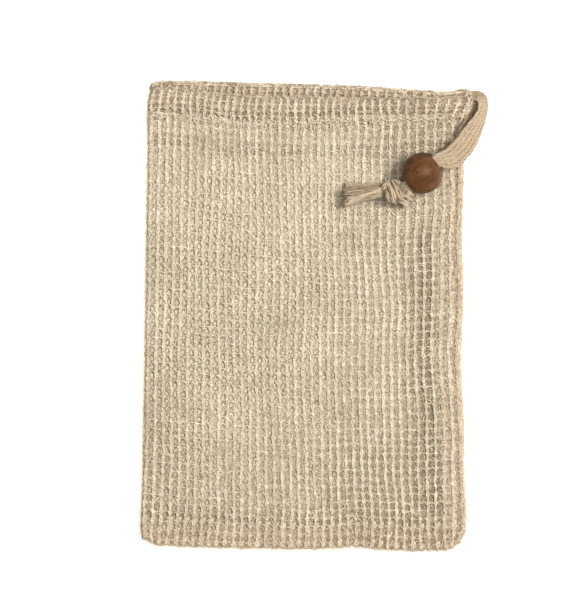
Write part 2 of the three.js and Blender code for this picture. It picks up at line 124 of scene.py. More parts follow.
class SmoothLine:
    """A smooth line through points, read by its place in the list or by its length."""

    def __init__(self, points: Sequence[Sequence[float]], power: float = 0.5) -> None:
        """Samples the line densely.

        Args:
            points: The points in order.
            power: 0.5 keeps the line tight where points lie uneven, 0 is for even ones.
        """
        rows = np.array(points, float)
        full = np.concatenate([[2 * rows[0] - rows[1]], rows, [2 * rows[-1] - rows[-2]]])
        share = np.linspace(0, 1, 25)[:, None]
        parts = []
        for before, start, end, after in zip(full, full[1:], full[2:], full[3:]):
            gaps = [max(np.linalg.norm(b - a) ** power, 1e-9)
                    for a, b in ((before, start), (start, end), (end, after))]
            out = ((start - before) / gaps[0] - (end - before) / (gaps[0] + gaps[1])
                   + (end - start) / gaps[1]) * gaps[1]
            back = ((end - start) / gaps[1] - (after - start) / (gaps[1] + gaps[2])
                    + (after - end) / gaps[2]) * gaps[1]
            parts.append(start + out * share
                         + (3 * (end - start) - 2 * out - back) * share ** 2
                         + (2 * (start - end) + out + back) * share ** 3)
        self.samples = np.concatenate([part[:-1] for part in parts] + [parts[-1][-1:]])
        steps = np.linalg.norm(np.diff(self.samples, axis=0), axis=1)
        self.along = np.concatenate([[0.0], np.cumsum(steps)])
        self.place = np.linspace(0, len(rows) - 1, len(self.samples))

    @property
    def length(self) -> float:
        """Length of the line in metres."""
        return float(self.along[-1])

    def at(self, share: Array) -> Array:
        """Points at shares of the length, with the coordinates on the last axis."""
        wanted = np.asarray(share) * self.along[-1]
        columns = [np.interp(wanted, self.along, self.samples[:, k])
                   for k in range(self.samples.shape[1])]
        return np.stack(columns, axis=-1)

    def place_at(self, share: Array) -> Array:
        """Place in the list of points, with its fraction, at shares of the length."""
        return np.interp(np.asarray(share) * self.along[-1], self.along, self.place)


class Drift:
    """A smooth random field over the plan, the same in each run."""

    WAVES = 8

    def __init__(self, seed: int, wave: float, strength: float) -> None:
        """Draws the waves.

        Args:
            seed: Start of the random draws.
            wave: Usual wavelength in metres.
            strength: Usual size of the result.
        """
        rng = np.random.default_rng(seed)
        count = self.WAVES
        heading = rng.uniform(0, TURN, count)
        pace = TURN / (wave * rng.uniform(0.6, 1.7, count))
        self.waves = list(zip(pace * np.cos(heading), pace * np.sin(heading),
                              rng.uniform(0, TURN, count)))
        self.share = strength * math.sqrt(2 / count)

    def at(self, x: Array, y: Array) -> Array:
        """Value of the field at each place."""
        return self.share * sum(np.sin(a * x + b * y + c) for a, b, c in self.waves)


def uneven(rng: np.random.Generator, count: int, place: Array, strength: float) -> Array:
    """Random values that change smoothly from one whole number of place to the next.

    Args:
        rng: Source of the random draws.
        count: Number of lines.
        place: Places along each line.
        strength: Usual size of a value.

    Returns:
        The values, lines by places.
    """
    first = math.floor(place.min())
    drawn = rng.normal(0, strength, (count, math.ceil(place.max()) - first + 2))
    index = np.floor(place).astype(int) - first
    share = eased(place - np.floor(place), 0, 1)[None]
    return drawn[:, index] * (1 - share) + drawn[:, index + 1] * share


def eased(value: Array, start: float, end: float) -> Array:
    """Rises smoothly from 0 at start to 1 at end."""
    share = np.clip((value - start) / (end - start), 0, 1)
    return share * share * (3 - 2 * share)


def openness(x: Array, y: Array) -> Array:
    """How wide open the cells are: 0 in the dense middle left, 1 at the right and both ends."""
    across = 0.75 * eased(x, *OPEN_RIGHT)
    spread = BOTTOM_LEAST + (1 - BOTTOM_LEAST) * eased(x, *BOTTOM_SPREAD)
    return np.maximum(np.maximum(across, spread * eased(-y, *OPEN_BOTTOM)), eased(y, *OPEN_TOP))


def cell_shade_and_darkening(x: Array, y: Array) -> Array:
    """How much darker the cells are painted: 1 in the lower right, and under the hem's right end,
    where it is painted shade of the tape and the bead.
    """
    low = eased(-y, *SHADE_AND_DARKENING.low) * (1 - 0.7 * eased(-y, *SHADE_AND_DARKENING.low_fades))
    high = 1.1 * eased(y, *SHADE_AND_DARKENING.high) * (1 - 0.8 * eased(x, *SHADE_AND_DARKENING.high_near_seam))
    high = high * (1 - 0.5 * eased(y, *SHADE_AND_DARKENING.high_fades))
    seam = 1 - eased(x, *SHADE_AND_DARKENING.seam) * (1 - eased(y, *SHADE_AND_DARKENING.seam_ends))
    side = np.maximum(low * eased(x, *SHADE_AND_DARKENING.low_from_fold), high * eased(x, *SHADE_AND_DARKENING.high_from_fold))
    return side * seam


def patch_light_and_shade(x: Array, y: Array) -> Array:
    """How much lighter than usual the cloth is painted over its soft patches of painted light and
    shade.
    """
    return sum(tone * np.exp(-((x - mid_x) / wide) ** 2 - ((y - mid_y) / high) ** 2)
               for mid_x, mid_y, wide, high, tone in LIGHT_AND_SHADE_PATCHES)


def strip(distance: Array, rise: Sequence[Array | float], falls: Sequence[Sequence]) -> Array:
    """A strip along an edge: 1 past its rise, and then less by the share of each fall.

    Args:
        distance: Distance from the edge.
        rise: Where it starts and where it is full.
        falls: Share, start and end of each fall.

    Returns:
        Its strength at each distance.
    """
    kept = 1.0
    for share, start, end in falls:
        kept = kept - share * eased(distance, start, end)
    return eased(distance, *rise) * kept


def fullness(distance: Array, radius: Array) -> Array:
    """How full a rounded edge is: 0 at the edge, 1 past its rounding."""
    short = 1 - np.clip(distance / radius, 0, 1)
    return np.sqrt(np.maximum(1 - short * short, 0))


# Building swept yarns and tapes


class YarnMesh:
    """Gathers swept yarns and tapes into the arrays of one mesh."""

    def __init__(self) -> None:
        """Starts with no points."""
        self.points: list[Array] = []
        self.corners: list[Array] = []
        self.sizes: list[Array] = []
        self.maps: list[Array] = []
        self.tones: list[Array] = []
        self.count = 0

    def add_points(self, points: Array, tone: Array | float) -> Array:
        """Adds points with their lightness, and gives their indices in the same layout."""
        index = self.count + np.arange(points.size // 3).reshape(points.shape[:-1])
        self.points.append(points.reshape(-1, 3))
        self.tones.append(np.broadcast_to(tone, index.shape).reshape(-1))
        self.count += index.size
        return index

    def add_faces(self, faces: Array, maps: Array | None = None) -> None:
        """Adds faces of equal size, with the pattern's coordinates at their corners."""
        corners = faces.shape[-1]
        self.corners.append(faces.reshape(-1))
        self.sizes.append(np.full(faces.size // corners, corners))
        self.maps.append(np.zeros((faces.size, 2)) if maps is None else maps.reshape(-1, 2))

    def sweep(self, path: Array, hint: Array, shape: Array, tone: Array) -> None:
        """Adds closed tubes along paths.

        Args:
            path: Ring centres, as tubes by rings by three.
            hint: Direction that each section's first axis keeps close to.
            shape: Offsets of the ring's points along the section's two axes.
            tone: Lightness of each tube, or of each of its rings.
        """
        tubes, rings, _ = path.shape
        run = np.gradient(path, axis=1)
        run /= np.maximum(np.linalg.norm(run, axis=2, keepdims=True), 1e-12)
        hint = np.broadcast_to(hint, path.shape)
        first = hint - (hint * run).sum(2, keepdims=True) * run
        first /= np.maximum(np.linalg.norm(first, axis=2, keepdims=True), 1e-12)
        second = np.cross(run, first)
        sides = shape.shape[2]
        shape = np.broadcast_to(shape, (tubes, rings, sides, 2))
        points = (path[:, :, None] + shape[..., :1] * first[:, :, None]
                  + shape[..., 1:] * second[:, :, None])
        tone = np.asarray(tone, float)
        index = self.add_points(points, tone.reshape(tone.shape + (1,) * (3 - tone.ndim)))
        steps = np.linalg.norm(np.diff(path, axis=1), axis=2)
        along = np.concatenate([np.zeros((tubes, 1)), np.cumsum(steps, axis=1)], axis=1) * 1000
        near, far = index[:, :-1], index[:, 1:]
        quads = np.stack([near, np.roll(near, -1, 2), np.roll(far, -1, 2), far], axis=-1)
        start = np.broadcast_to(np.arange(sides) / sides, near.shape)
        low = np.broadcast_to(along[:, :-1, None], near.shape)
        high = np.broadcast_to(along[:, 1:, None], near.shape)
        end = start + 1 / sides
        around = np.stack([start, end, end, start], axis=-1)
        length = np.stack([low, low, high, high], axis=-1)
        self.add_faces(quads, np.stack([around, length], axis=-1))
        self.add_faces(np.concatenate([index[:, 0, ::-1], index[:, -1]]))

    def grid(self, points: Array, maps: Array, tone: Array | float,
             closed: Sequence[int] = ()) -> Array:
        """Adds a surface through rows and columns of points.

        Args:
            points: Rows by columns by three.
            maps: Rows by columns by two, the pattern's coordinates.
            tone: Lightness of the whole surface, or of each point.
            closed: 0 where the last row meets the first, and 1 for the same of the columns.

        Returns:
            Indices of the points, rows by columns.
        """
        index = self.add_points(points, tone)
        joined = index
        for axis in closed:
            joined = np.concatenate([joined, joined.take([0], axis)], axis)
        quads = np.stack([joined[:-1, :-1], joined[:-1, 1:], joined[1:, 1:], joined[1:, :-1]],
                         axis=-1)
        self.add_faces(quads, maps.reshape(-1, 2)[quads - index[0, 0]])
        return index

    def fibres(self, path: Array, width: Array, tone: Array) -> None:
        """Adds fine flat fibres that lie level.

        Args:
            path: Points along each fibre, as fibres by points by three.
            width: Width of each fibre at its root; it halves towards its tip.
            tone: Lightness of each fibre.
        """
        run = np.gradient(path[..., :2], axis=1)
        run /= np.maximum(np.linalg.norm(run, axis=2, keepdims=True), 1e-12)
        side = np.stack([-run[..., 1], run[..., 0], np.zeros(path.shape[:2])], axis=-1)
        half = width[:, None, None] * np.linspace(0.5, 0.25, path.shape[1])[None, :, None]
        both = np.stack([path - side * half, path + side * half], axis=2)
        index = self.add_points(both, tone[:, None, None])
        self.add_faces(np.stack([index[:, :-1, 0], index[:, :-1, 1], index[:, 1:, 1],
                                 index[:, 1:, 0]], axis=-1))

    def build(self, name: str) -> bpy.types.Object:
        """Makes the object, smooth shaded, with its pattern map and tones.

        Args:
            name: Name of the object and its mesh.

        Returns:
            The new object, linked to the scene.
        """
        points = np.concatenate(self.points)
        corners = np.concatenate(self.corners)
        sizes = np.concatenate(self.sizes)
        mesh = bpy.data.meshes.new(name)
        mesh.vertices.add(len(points))
        mesh.vertices.foreach_set("co", points.astype(np.float32).ravel())
        mesh.loops.add(len(corners))
        mesh.loops.foreach_set("vertex_index", corners.astype(np.int32))
        mesh.polygons.add(len(sizes))
        starts = np.concatenate([[0], np.cumsum(sizes)[:-1]])
        mesh.polygons.foreach_set("loop_start", starts.astype(np.int32))
        mesh.polygons.foreach_set("use_smooth", np.ones(len(sizes), bool))
        mesh.update(calc_edges=True)
        layer = mesh.uv_layers.new(name="yarn")
        layer.data.foreach_set("uv", np.concatenate(self.maps).astype(np.float32).ravel())
        # The tone holds each yarn's own lightness and the light and shade painted on it.
        tones = mesh.attributes.new("tone", "FLOAT", "POINT")
        tones.data.foreach_set("value", np.concatenate(self.tones).astype(np.float32))
        piece = bpy.data.objects.new(name, mesh)
        bpy.context.scene.collection.objects.link(piece)
        triangles = int((sizes - 2).sum())
        log.info("%s: %d triangles", name, triangles)
        return piece


def round_section(radius: Array, sides: int) -> Array:
    """Ring offsets of round tubes, whose radius may change from ring to ring."""
    angle = np.arange(sides) * TURN / sides
    ring = np.stack([np.cos(angle), np.sin(angle)], axis=-1)
    return np.asarray(radius)[..., None, None] * ring


def twisted_section(radius: Array, turn: Array, sides: int, waist: float) -> Array:
    """Ring offsets of a yarn of two strands laid round each other.

    Args:
        radius: Reach over both strands, for each ring.
        turn: How far the strands have turned, for each ring.
        sides: Points in a ring.
        waist: Reach across the groove between the strands, as a share of the radius.

    Returns:
        The offsets, tubes by rings by sides by two.
    """
    angle = np.arange(sides) * TURN / sides
    reach = waist + (1 - waist) * np.abs(np.cos(angle)) ** 0.8
    heading = angle + turn[..., None]
    size = radius[..., None] * reach
    return np.stack([size * np.cos(heading), size * np.sin(heading)], axis=-1)


@dataclass(frozen=True)
class FibreSizes:
    """Loose fibres: spans of length, width and lightness, and how far they curl and rise."""

    reach: Span
    curl: float
    width: Span
    tone: Span
    bend: Sequence[float]
    rise: float = 0.0

    def scatter(self, mesh: YarnMesh, rng: np.random.Generator, root: Array, turn: Array
                ) -> None:
        """Adds a fibre at each root.

        Args:
            mesh: The mesh that they go into.
            rng: Source of the random draws.
            root: Where each fibre starts.
            turn: Its heading in plan.
        """
        count = len(root)
        bend = np.array(self.bend)[:, None]
        share = np.linspace(0, 1, len(bend))[:, None]
        reach = rng.uniform(*self.reach, count)[:, None, None]
        ahead = np.stack([np.cos(turn), np.sin(turn), self.rise + 0 * turn], axis=-1)[:, None]
        aside = np.stack([-np.sin(turn), np.cos(turn), 0 * turn], axis=-1)[:, None]
        curl = rng.normal(0, self.curl, count)[:, None, None]
        path = root[:, None] + ahead * reach * share + aside * curl * bend
        mesh.fibres(path, rng.uniform(*self.width, count), rng.uniform(*self.tone, count))


# Fibres that lie bowed on the front, and those that stand off the edges like hooks
FACE_FIBRES = FibreSizes((0.0005, 0.0021), 0.0006, (0.00006, 0.00015), (-0.4, 1.6),
                         (0.0, 0.5, 0.0))
EDGE_FIBRES = FibreSizes((0.0004, 0.0015), 0.0005, (0.00004, 0.00009), (0.2, 1.4),
                         (0.0, 0.25, 1.0))


# The lying cloth

FOLD_EDGE = [
    (-0.0498, -0.0668), (-0.0497, -0.0646), (-0.0492, -0.0600), (-0.0487, -0.0440),
    (-0.0482, -0.0200), (-0.0477, 0.0140), (-0.0472, 0.0460), (-0.0469, 0.0622),
    (-0.0456, 0.0669),
]
SEAM_EDGE = [
    (0.0462, -0.0682), (0.0462, -0.0642), (0.0463, -0.0560), (0.0457, -0.0460),
    (0.0455, -0.0330), (0.0446, -0.0110), (0.0454, 0.0060), (0.0449, 0.0200),
    (0.0453, 0.0360), (0.0453, 0.0510), (0.0460, 0.0580), (0.0488, 0.0643),
]
BOTTOM_EDGE = [
    (-0.0498, -0.0668), (-0.0463, -0.0670), (-0.0360, -0.0676), (-0.0120, -0.0682),
    (0.0050, -0.0682), (0.0130, -0.0677), (0.0200, -0.0683), (0.0316, -0.0689),
    (0.0410, -0.0686), (0.0462, -0.0682),
]
# Pull of the rounding at the fold's and the seam's bottom corner, and its reach
CORNER_PULLS = {0: (0.0010, 0.0014), 1: (-0.0016, 0.0015)}
CORNER_REACH = 0.0056
FRONT_RIM = [
    (-0.0456, 0.0669), (-0.0380, 0.0668), (-0.0300, 0.0660), (-0.0200, 0.0650),
    (-0.0080, 0.0644), (0.0080, 0.0643), (0.0240, 0.0640), (0.0400, 0.0642),
    (0.0488, 0.0643),
]
BACK_RIM = [
    (-0.0456, 0.0669), (-0.0438, 0.0687), (-0.0320, 0.0688), (-0.0140, 0.0683),
    (0.0040, 0.0679), (0.0200, 0.0673), (0.0340, 0.0664), (0.0420, 0.0659),
    (0.0464, 0.0665), (0.0482, 0.0660), (0.0488, 0.0643),
]
# Distance from the rim, top of the front there, and thickness of the hem's wall
HEM_PROFILE = [
    (0.0, 0.0070, 0.0033), (0.0050, 0.0068, 0.0032), (0.0064, 0.0060, 0.0027),
    (0.0084, 0.0048, 0.0022), (0.0104, 0.0048, 0.0022), (0.0134, 0.0047, 0.0021),
    (0.0155, 0.0036, 0.0011), (0.0190, 0.0029, 0.0011), (0.0240, 0.0027, 0.0011),
]
# Middle, length, width, turn in degrees and rise of each soft ridge or trough
CREASES = [
    (-0.022, 0.044, 0.046, 0.013, -6, 0.00045), (0.012, 0.047, 0.040, 0.011, 4, -0.0003),
    (0.033, 0.012, 0.060, 0.012, 88, 0.0004), (-0.034, -0.008, 0.060, 0.016, 96, 0.0004),
    (0.004, -0.020, 0.064, 0.020, 72, -0.00025), (-0.008, -0.052, 0.070, 0.012, 3, 0.0004),
]
# How much further towards the fold the ribs lie at the rim than at the bottom, as shares
RIM_LAG = 0.036
SEAM_LAG = 0.006
SEAM_LAG_GROWS = (0.45, 0.8)
LAG_FADES = (0.62, 1.0)
# Lean of the ribs over the hem's tube, with the stretch of the width where each part grows
HEM_LEANS = ((0.0017, (0.05, 0.40)), (0.0010, (0.60, 0.80)))
LEAN_FADES = (0.84, 1.0)
LEAN_HEIGHT = 0.0095
# Heights over the bottom edge between which the cloth becomes the hem's tube
HEM_STARTS = (0.1235, 0.1260)


@dataclass(frozen=True)
class ClothSizes:
    """Sizes of the lying cloth, as in the CAD source."""

    width: float = 0.0935
    height: float = 0.1325
    ribs: int = 40
    rows: int = 56
    ply: float = 0.0011
    edge_round: float = 0.00135
    seam_side: float = 0.0067
    seam_bottom: float = 0.0073
    seam_rise: float = 0.0012
    slope: float = 0.008
    hem_stitch: float = 0.0072
    hem_turned: float = 0.0136
    hem_layer: float = 0.0033
    channel: float = 0.0035
    back_lift: float = 0.0003
    sag: float = 0.0016
    ground_depth: float = 0.00032
    ground_bulge: float = 0.00020
    ground_drop: float = 0.00024


class LyingCloth:
    """Where each thread of the folded cloth lies."""

    def __init__(self, sizes: ClothSizes) -> None:
        """Reads the outlines.

        Args:
            sizes: Sizes of the cloth.
        """
        self.sizes = sizes
        self.fold = SmoothLine(FOLD_EDGE, 0)
        self.seam = SmoothLine(SEAM_EDGE, 0)
        self.bottom = SmoothLine(BOTTOM_EDGE, 0)
        self.rims = {Side.FRONT: SmoothLine(FRONT_RIM, 0), Side.BACK: SmoothLine(BACK_RIM, 0)}
        self.slips = {
            side: (Drift(seed, 0.034, 0.00022), Drift(seed + 1, 0.030, 0.00020),
                   Drift(seed + 2, 0.009, 0.00007), Drift(seed + 3, 0.009, 0.00007))
            for side, seed in ((Side.FRONT, 11), (Side.BACK, 31))
        }

    def plan(self, side: Side, u: Array, v: Array) -> Array:
        """Place in plan of threads that cross at u along the width and v up the height.

        Args:
            side: The ply.
            u: From 0 at the fold to 1 at the side seam.
            v: From 0 at the bottom seam to 1 at the rim.

        Returns:
            X and Y on the last axis.
        """
        u, v = np.broadcast_arrays(np.clip(u, 0, 1), np.clip(v, 0, 1))
        rim = self.rims[side]
        lag = RIM_LAG * u + SEAM_LAG * eased(u, *SEAM_LAG_GROWS)
        share = u - lag * (1 - eased(u, *LAG_FADES))
        across, up = u[..., None], v[..., None]
        near = (1 - across) * self.bottom.samples[0] + across * self.bottom.samples[-1]
        far = (1 - across) * rim.samples[0] + across * rim.samples[-1]
        place = ((1 - up) * self.bottom.at(u) + up * rim.at(share)
                 + (1 - across) * self.fold.at(v) + across * self.seam.at(v)
                 - (1 - up) * near - up * far)
        inside = (eased(u, 0, 0.06) * eased(1 - u, 0, 0.06)
                  * eased(v, 0, 0.05) * eased(1 - v, 0, 0.08))
        x, y = u * self.sizes.width, v * self.sizes.height
        slip_x, slip_y, fine_x, fine_y = self.slips[side]
        sag = 0.0
        if side is Side.FRONT:
            sag = self.sizes.sag * np.sin(math.pi * u ** 1.45) * (1 - (2 * v - 1) ** 4)
        lean = sum(most * eased(u, *grows) for most, grows in HEM_LEANS)
        top = self.sizes.height
        lean = lean * (1 - eased(u, *LEAN_FADES)) * eased(y, top - LEAN_HEIGHT, top)
        shift = [(slip_x.at(x, y) + fine_x.at(x, y)) * inside - lean,
                 (slip_y.at(x, y) + fine_y.at(x, y)) * inside - sag]
        for end, pull in CORNER_PULLS.items():
            from_end = np.abs(u - end) * self.sizes.width
            near_corner = (1 - eased(from_end, 0, CORNER_REACH)) * (1 - eased(y, 0, CORNER_REACH))
            shift = [part + amount * near_corner for part, amount in zip(shift, pull)]
        return place + np.stack(shift, axis=-1)

    def creases(self, plan: Array) -> Array:
        """Rise of the front over its soft ridges and troughs."""
        total = np.zeros(plan.shape[:-1])
        for x, y, length, width, turn, rise in CREASES:
            angle = math.radians(turn)
            dx, dy = plan[..., 0] - x, plan[..., 1] - y
            along = (dx * math.cos(angle) + dy * math.sin(angle)) / (length / 2)
            across = (dy * math.cos(angle) - dx * math.sin(angle)) / (width / 2)
            total += rise * np.exp(-(along ** 2 + across ** 2))
        return total

    def profile(self, from_rim: Array, column: int) -> Array:
        """Reads a column of the hem's profile at distances from the rim."""
        table = np.array(HEM_PROFILE)
        return np.interp(from_rim, table[:, 0], table[:, column])

    def front_top(self, u: Array, v: Array, plan: Array) -> Array:
        """Height of the top of the front over the floor, before its edges are rounded."""
        size = self.sizes
        from_rim = (1 - v) * size.height
        over_seam = np.maximum(
            1 - eased((1 - u) * size.width, size.seam_side, size.seam_side + size.slope),
            1 - eased(v * size.height, size.seam_bottom, size.seam_bottom + size.slope),
        )
        below = eased(from_rim, size.hem_turned, size.hem_turned + size.slope)
        return self.profile(from_rim, 1) + (size.seam_rise * over_seam
                                            + self.creases(plan)) * below

    def edge_fullness(self, u: Array, v: Array) -> Array:
        """How full the cloth is at its edges."""
        size = self.sizes
        from_rim = (1 - v) * size.height
        radius = np.where(from_rim < size.hem_turned, size.hem_layer / 2, size.edge_round)
        fold = fullness(u * size.width, radius)
        bottom = fullness(v * size.height, np.full_like(v, size.edge_round))
        seam = fullness((1 - u) * size.width, np.full_like(u, size.edge_round))
        blunt = 1 - eased(from_rim, size.hem_stitch, size.hem_turned)
        return fold * bottom * (seam + (0.85 - 0.85 * seam) * blunt)

    def outer(self, side: Side, u: Array, v: Array) -> Array:
        """Places along the middle of an outer ply."""
        u, v = np.broadcast_arrays(u, v)
        plan = self.plan(side, u, v)
        top = self.front_top(u, v, plan)
        half = self.sizes.ply / 2
        low = half + self.sizes.back_lift
        level = top - half if side is Side.FRONT else np.full_like(top, low)
        z = top / 2 + (level - top / 2) * self.edge_fullness(u, v)
        return np.concatenate([plan, z[..., None]], axis=-1)

    def turned(self, side: Side, u: Array, v: Array) -> Array:
        """Places along the middle of the ply turned into the hem."""
        u, v = np.broadcast_arrays(u, v)
        plan = self.plan(side, u, v)
        from_rim = (1 - v) * self.sizes.height
        half = self.sizes.ply / 2
        wall = self.profile(from_rim, 2)
        top = self.front_top(u, v, plan)
        z = top - wall + half if side is Side.FRONT else wall - half
        return np.concatenate([plan, z[..., None]], axis=-1)

    def hem_round(self, side: Side, u: Array, angle: Array) -> Array:
        """Places round the rim, from the outer ply at 0 to the turned ply at pi."""
        size = self.sizes
        radius = (size.hem_layer - size.ply) / 2
        start = np.ones_like(u) * (1 - (size.hem_layer / 2) / size.height)
        outer = self.outer(side, u, start)
        inner = self.turned(side, u, start)
        share = ((1 - np.cos(angle)) / 2)[..., None]
        place = outer + (inner - outer) * share
        place[..., 1] += np.sin(angle) * radius
        return place


# The net of yarn


@dataclass(frozen=True)
class NetSizes:
    """Yarn sizes of a net, and how finely its yarns are drawn."""

    strands: int = 3
    rib: float = 0.00026
    rib_reach: float = 0.00031
    rib_sides: int = 4
    rib_steps: int = 5
    bar: float = 0.00036
    bar_sides: int = 5
    bar_steps: int = 5
    arch: float = 0.00030
    rib_rise: float = 0.00004
    bar_drop: float = 0.00012
    rib_knot: float = 0.22
    rib_turns: float = 1.15
    bar_flare: float = 0.42
    bar_turns: float = 1.2
    stray: float = 0.00009


# Row counts and their heights over the bottom edge
ROW_PLACES = np.array([
    (0, 3, 12, 26, 40, 49, 51, 52.2, 53.2, 54.6, 56),
    (0, 0.0086, 0.0300, 0.0634, 0.0970, 0.1186, 0.1232, 0.1256, 0.1275, 0.1299, 0.1325),
])
FINE_NET = NetSizes()
PLAIN_NET = NetSizes(strands=1, rib=0.00058, rib_reach=0.00006, rib_sides=5, rib_steps=3,
                     bar=0.00042, bar_sides=4, bar_steps=3)
# Rows that the cloth takes to go round the rim
ROWS_ROUND = 1.4
# Place as a share of the way round, radius and lightness of the felted yarns along the rim
# Their lightness is painted light and shade that changes round the rim.
RIM_YARNS = [(0.28, 0.00020, -0.8), (0.44, 0.00028, -0.4), (0.60, 0.00036, 0.1),
             (0.84, 0.00036, 0.2)]


class Net:
    """Lays the ribs and bars of one stretch of cloth into a mesh."""

    def __init__(self, cloth: LyingCloth, sizes: NetSizes, seed: int,
                 shift: tuple[float, float] = (0.0, 0.0)) -> None:
        """Draws the unevenness of the yarns.

        Args:
            cloth: Where the threads lie.
            sizes: Yarn sizes.
            seed: Start of the random draws.
            shift: How far the threads are moved, in ribs and in rows.
        """
        self.cloth = cloth
        self.sizes = sizes
        self.shift = shift
        self.rng = np.random.default_rng(seed)
        self.uneven_rng = np.random.default_rng(seed + 900)
        self.mesh = YarnMesh()
        self.swell = Drift(seed + 5, 0.006, 0.07)
        self.shade = Drift(seed + 6, 0.016, 0.5)

        size = cloth.sizes
        self.rim_row = self.row_of(1 - size.hem_layer / 2 / size.height)
        self.raw_row = 2 * self.rim_row + ROWS_ROUND - self.row_of(
            1 - size.hem_turned / size.height)

    def v_of(self, row: Array) -> Array:
        """Height share of a row count; the rows lie closer together over the hem's tube."""
        height = np.interp(row, ROW_PLACES[0], ROW_PLACES[1])
        return height / self.cloth.sizes.height

    def place(self, side: Side, u: Array, row: Array) -> tuple[Array, Array]:
        """Places at row counts that go on over the rim and down the turned ply.

        Args:
            side: The ply.
            u: Width shares.
            row: Row counts, up to raw_row.

        Returns:
            The places, and how far the cloth has turned over there, from 0 to pi.
        """
        u, row = np.broadcast_arrays(u, row)
        angle = np.clip((row - self.rim_row) / ROWS_ROUND, 0, 1) * math.pi
        over = self.cloth.hem_round(side, u, angle)
        low = self.cloth.outer(side, u, np.maximum(self.v_of(row), 0.0029))
        back = self.v_of(2 * self.rim_row + ROWS_ROUND - row)
        turned = self.cloth.turned(side, u, np.minimum(back, 1.0))
        place = np.where((row <= self.rim_row)[..., None], low, over)
        return np.where((row >= self.rim_row + ROWS_ROUND)[..., None], turned, place), angle

    def row_of(self, v: float) -> float:
        """Row count at a height share."""
        rows = np.linspace(0, self.cloth.sizes.rows, 600)
        return float(np.interp(v, self.v_of(rows), rows))

    def u_of(self, column: Array) -> Array:
        """Width share of a rib count, which is 0 at the first rib."""
        return (np.asarray(column, float) + 0.5) / self.cloth.sizes.ribs

    def arch(self, column: Array) -> Array:
        """How far a bar rises between its ribs, in rows."""
        bow = (1 - np.cos(TURN * (column - self.shift[0]))) / 2
        return self.sizes.arch * bow * self.cloth.sizes.rows / self.cloth.sizes.height

    def ribs(self, path: Array, row: Array, share: Array | float = 1.0,
             tone: Array | float = 0.0, knot: Array | float = 0.0) -> None:
        """Adds ribs along paths, each of them plaited of a few strands.

        Args:
            path: Places along each rib.
            row: Row count at each place.
            share: Thickness of these ribs as a share of the usual one.
            tone: Lightness of these ribs over the usual one.
            knot: How much more than usual they swell where a bar crosses.
        """
        size = self.sizes
        count = path.shape[0]
        crossing = row[None] - 0.5 - self.shift[1]
        lean = self.rng.uniform(0, TURN, (count, 1))
        thick = 1 + 0.07 * self.rng.standard_normal((count, 1)) + (size.rib_knot + knot) * np.cos(
            TURN * crossing) + self.swell.at(path[..., 0], path[..., 1])
        path = path.copy()
        path[..., 0] += uneven(self.uneven_rng, count, row, size.stray)
        path[..., 2] += size.rib_rise + uneven(self.uneven_rng, count, row, size.stray * 0.6)
        shade = tone + self.rng.normal(0, 0.25, (count, 1)) + 0.5 * self.shade.at(
            path[..., 0], path[..., 1])
        if count > 1:  # The last rib lies in the shade of the side seam
            shade[-1] -= 1.2
        for strand in range(size.strands):
            turn = math.pi * crossing * size.rib_turns + lean + TURN * strand / size.strands
            turn = turn + uneven(self.uneven_rng, count, row, 0.35)
            lie = path.copy()
            reach = size.rib_reach * share * thick
            lie[..., 0] += reach * np.sin(turn)
            lie[..., 2] += 0.45 * reach * np.sin(2 * turn)
            radius = size.rib * share * thick * (1 + uneven(self.uneven_rng, count, row * 2, 0.14))
            speck = uneven(self.uneven_rng, count, row * 2.5, 0.8)
            self.mesh.sweep(lie, ACROSS, round_section(radius, size.rib_sides), shade + speck)

    def bars(self, path: Array, column: Array, tone: Array | float = 0.0) -> None:
        """Adds bars along paths.

        Args:
            path: Places along each bar, already arched.
            column: Rib count at each place.
            tone: Lightness of these bars over the usual one.
        """
        size = self.sizes
        count = path.shape[0]
        crossing = column[None] - self.shift[0]
        phase = self.rng.uniform(0, TURN, (count, 1))
        thick = 1 + 0.06 * self.rng.standard_normal((count, 1))
        near = np.cos(TURN * crossing)
        swell = self.swell.at(path[..., 0], path[..., 1])
        swell = swell + uneven(self.uneven_rng, count, column, 0.16)
        wide = openness(path[..., 0], path[..., 1])
        radius = size.bar * (thick + size.bar_flare * near + swell - 0.20 * wide)
        # Soft patches of painted light and shade, and darker cells under the tape's end and the
        # bead (painted shade) and in the lower right.
        tone = tone - 0.35 * wide + 0.8 * patch_light_and_shade(path[..., 0], path[..., 1])
        tone = tone - 0.8 * cell_shade_and_darkening(path[..., 0], np.maximum(path[..., 1], 0))
        turn = math.pi * crossing * size.bar_turns + phase
        path = path.copy()
        path[..., 1] += uneven(self.uneven_rng, count, column * 2, size.stray * 1.6)
        path[..., 2] -= size.bar_drop * (0.6 + 1.7 * near)
        # Painted shade on the last bars before the side seam.
        last = self.cloth.sizes.ribs - 0.7
        tone = tone - 1.8 * eased(column, last - 1.2, last) + self.rng.normal(
            -0.3, 0.2, (count, 1)) + uneven(self.uneven_rng, count, column * 2, 0.6)
        tone = tone + 0.5 * self.shade.at(path[..., 0], path[..., 1])
        section = twisted_section(radius, turn, size.bar_sides, 0.78) * [1.0, 0.75]
        self.mesh.sweep(path, ALONG, section, tone)


@dataclass(frozen=True)
class LooseStrips:
    """Where the cloth lies loose: distances in metres over which each strip rises and falls."""

    widening: float = 0.0014
    widens: Span = (0.012, 0.045)
    beside: Span = (0.0068, 0.0086)
    beside_falls: Falls = ((0.55, 0.0108, 0.0122), (0.45, 0.0122, 0.0185))
    beside_starts: Span = (0.006, 0.009)
    beside_ends: Span = (0.088, 0.102)
    above: Span = (0.0062, 0.0076)
    above_falls: Falls = ((0.60, 0.0094, 0.0106), (0.40, 0.0106, 0.0165))
    above_starts: Span = (0.006, 0.009)
    tape: float = 0.0045
    tape_slope: float = 0.0013
    tape_bends: Span = (0.3, 0.7)
    below: Span = (0.0140, 0.0152)
    below_falls: Falls = ((1, 0.0168, 0.0190),)


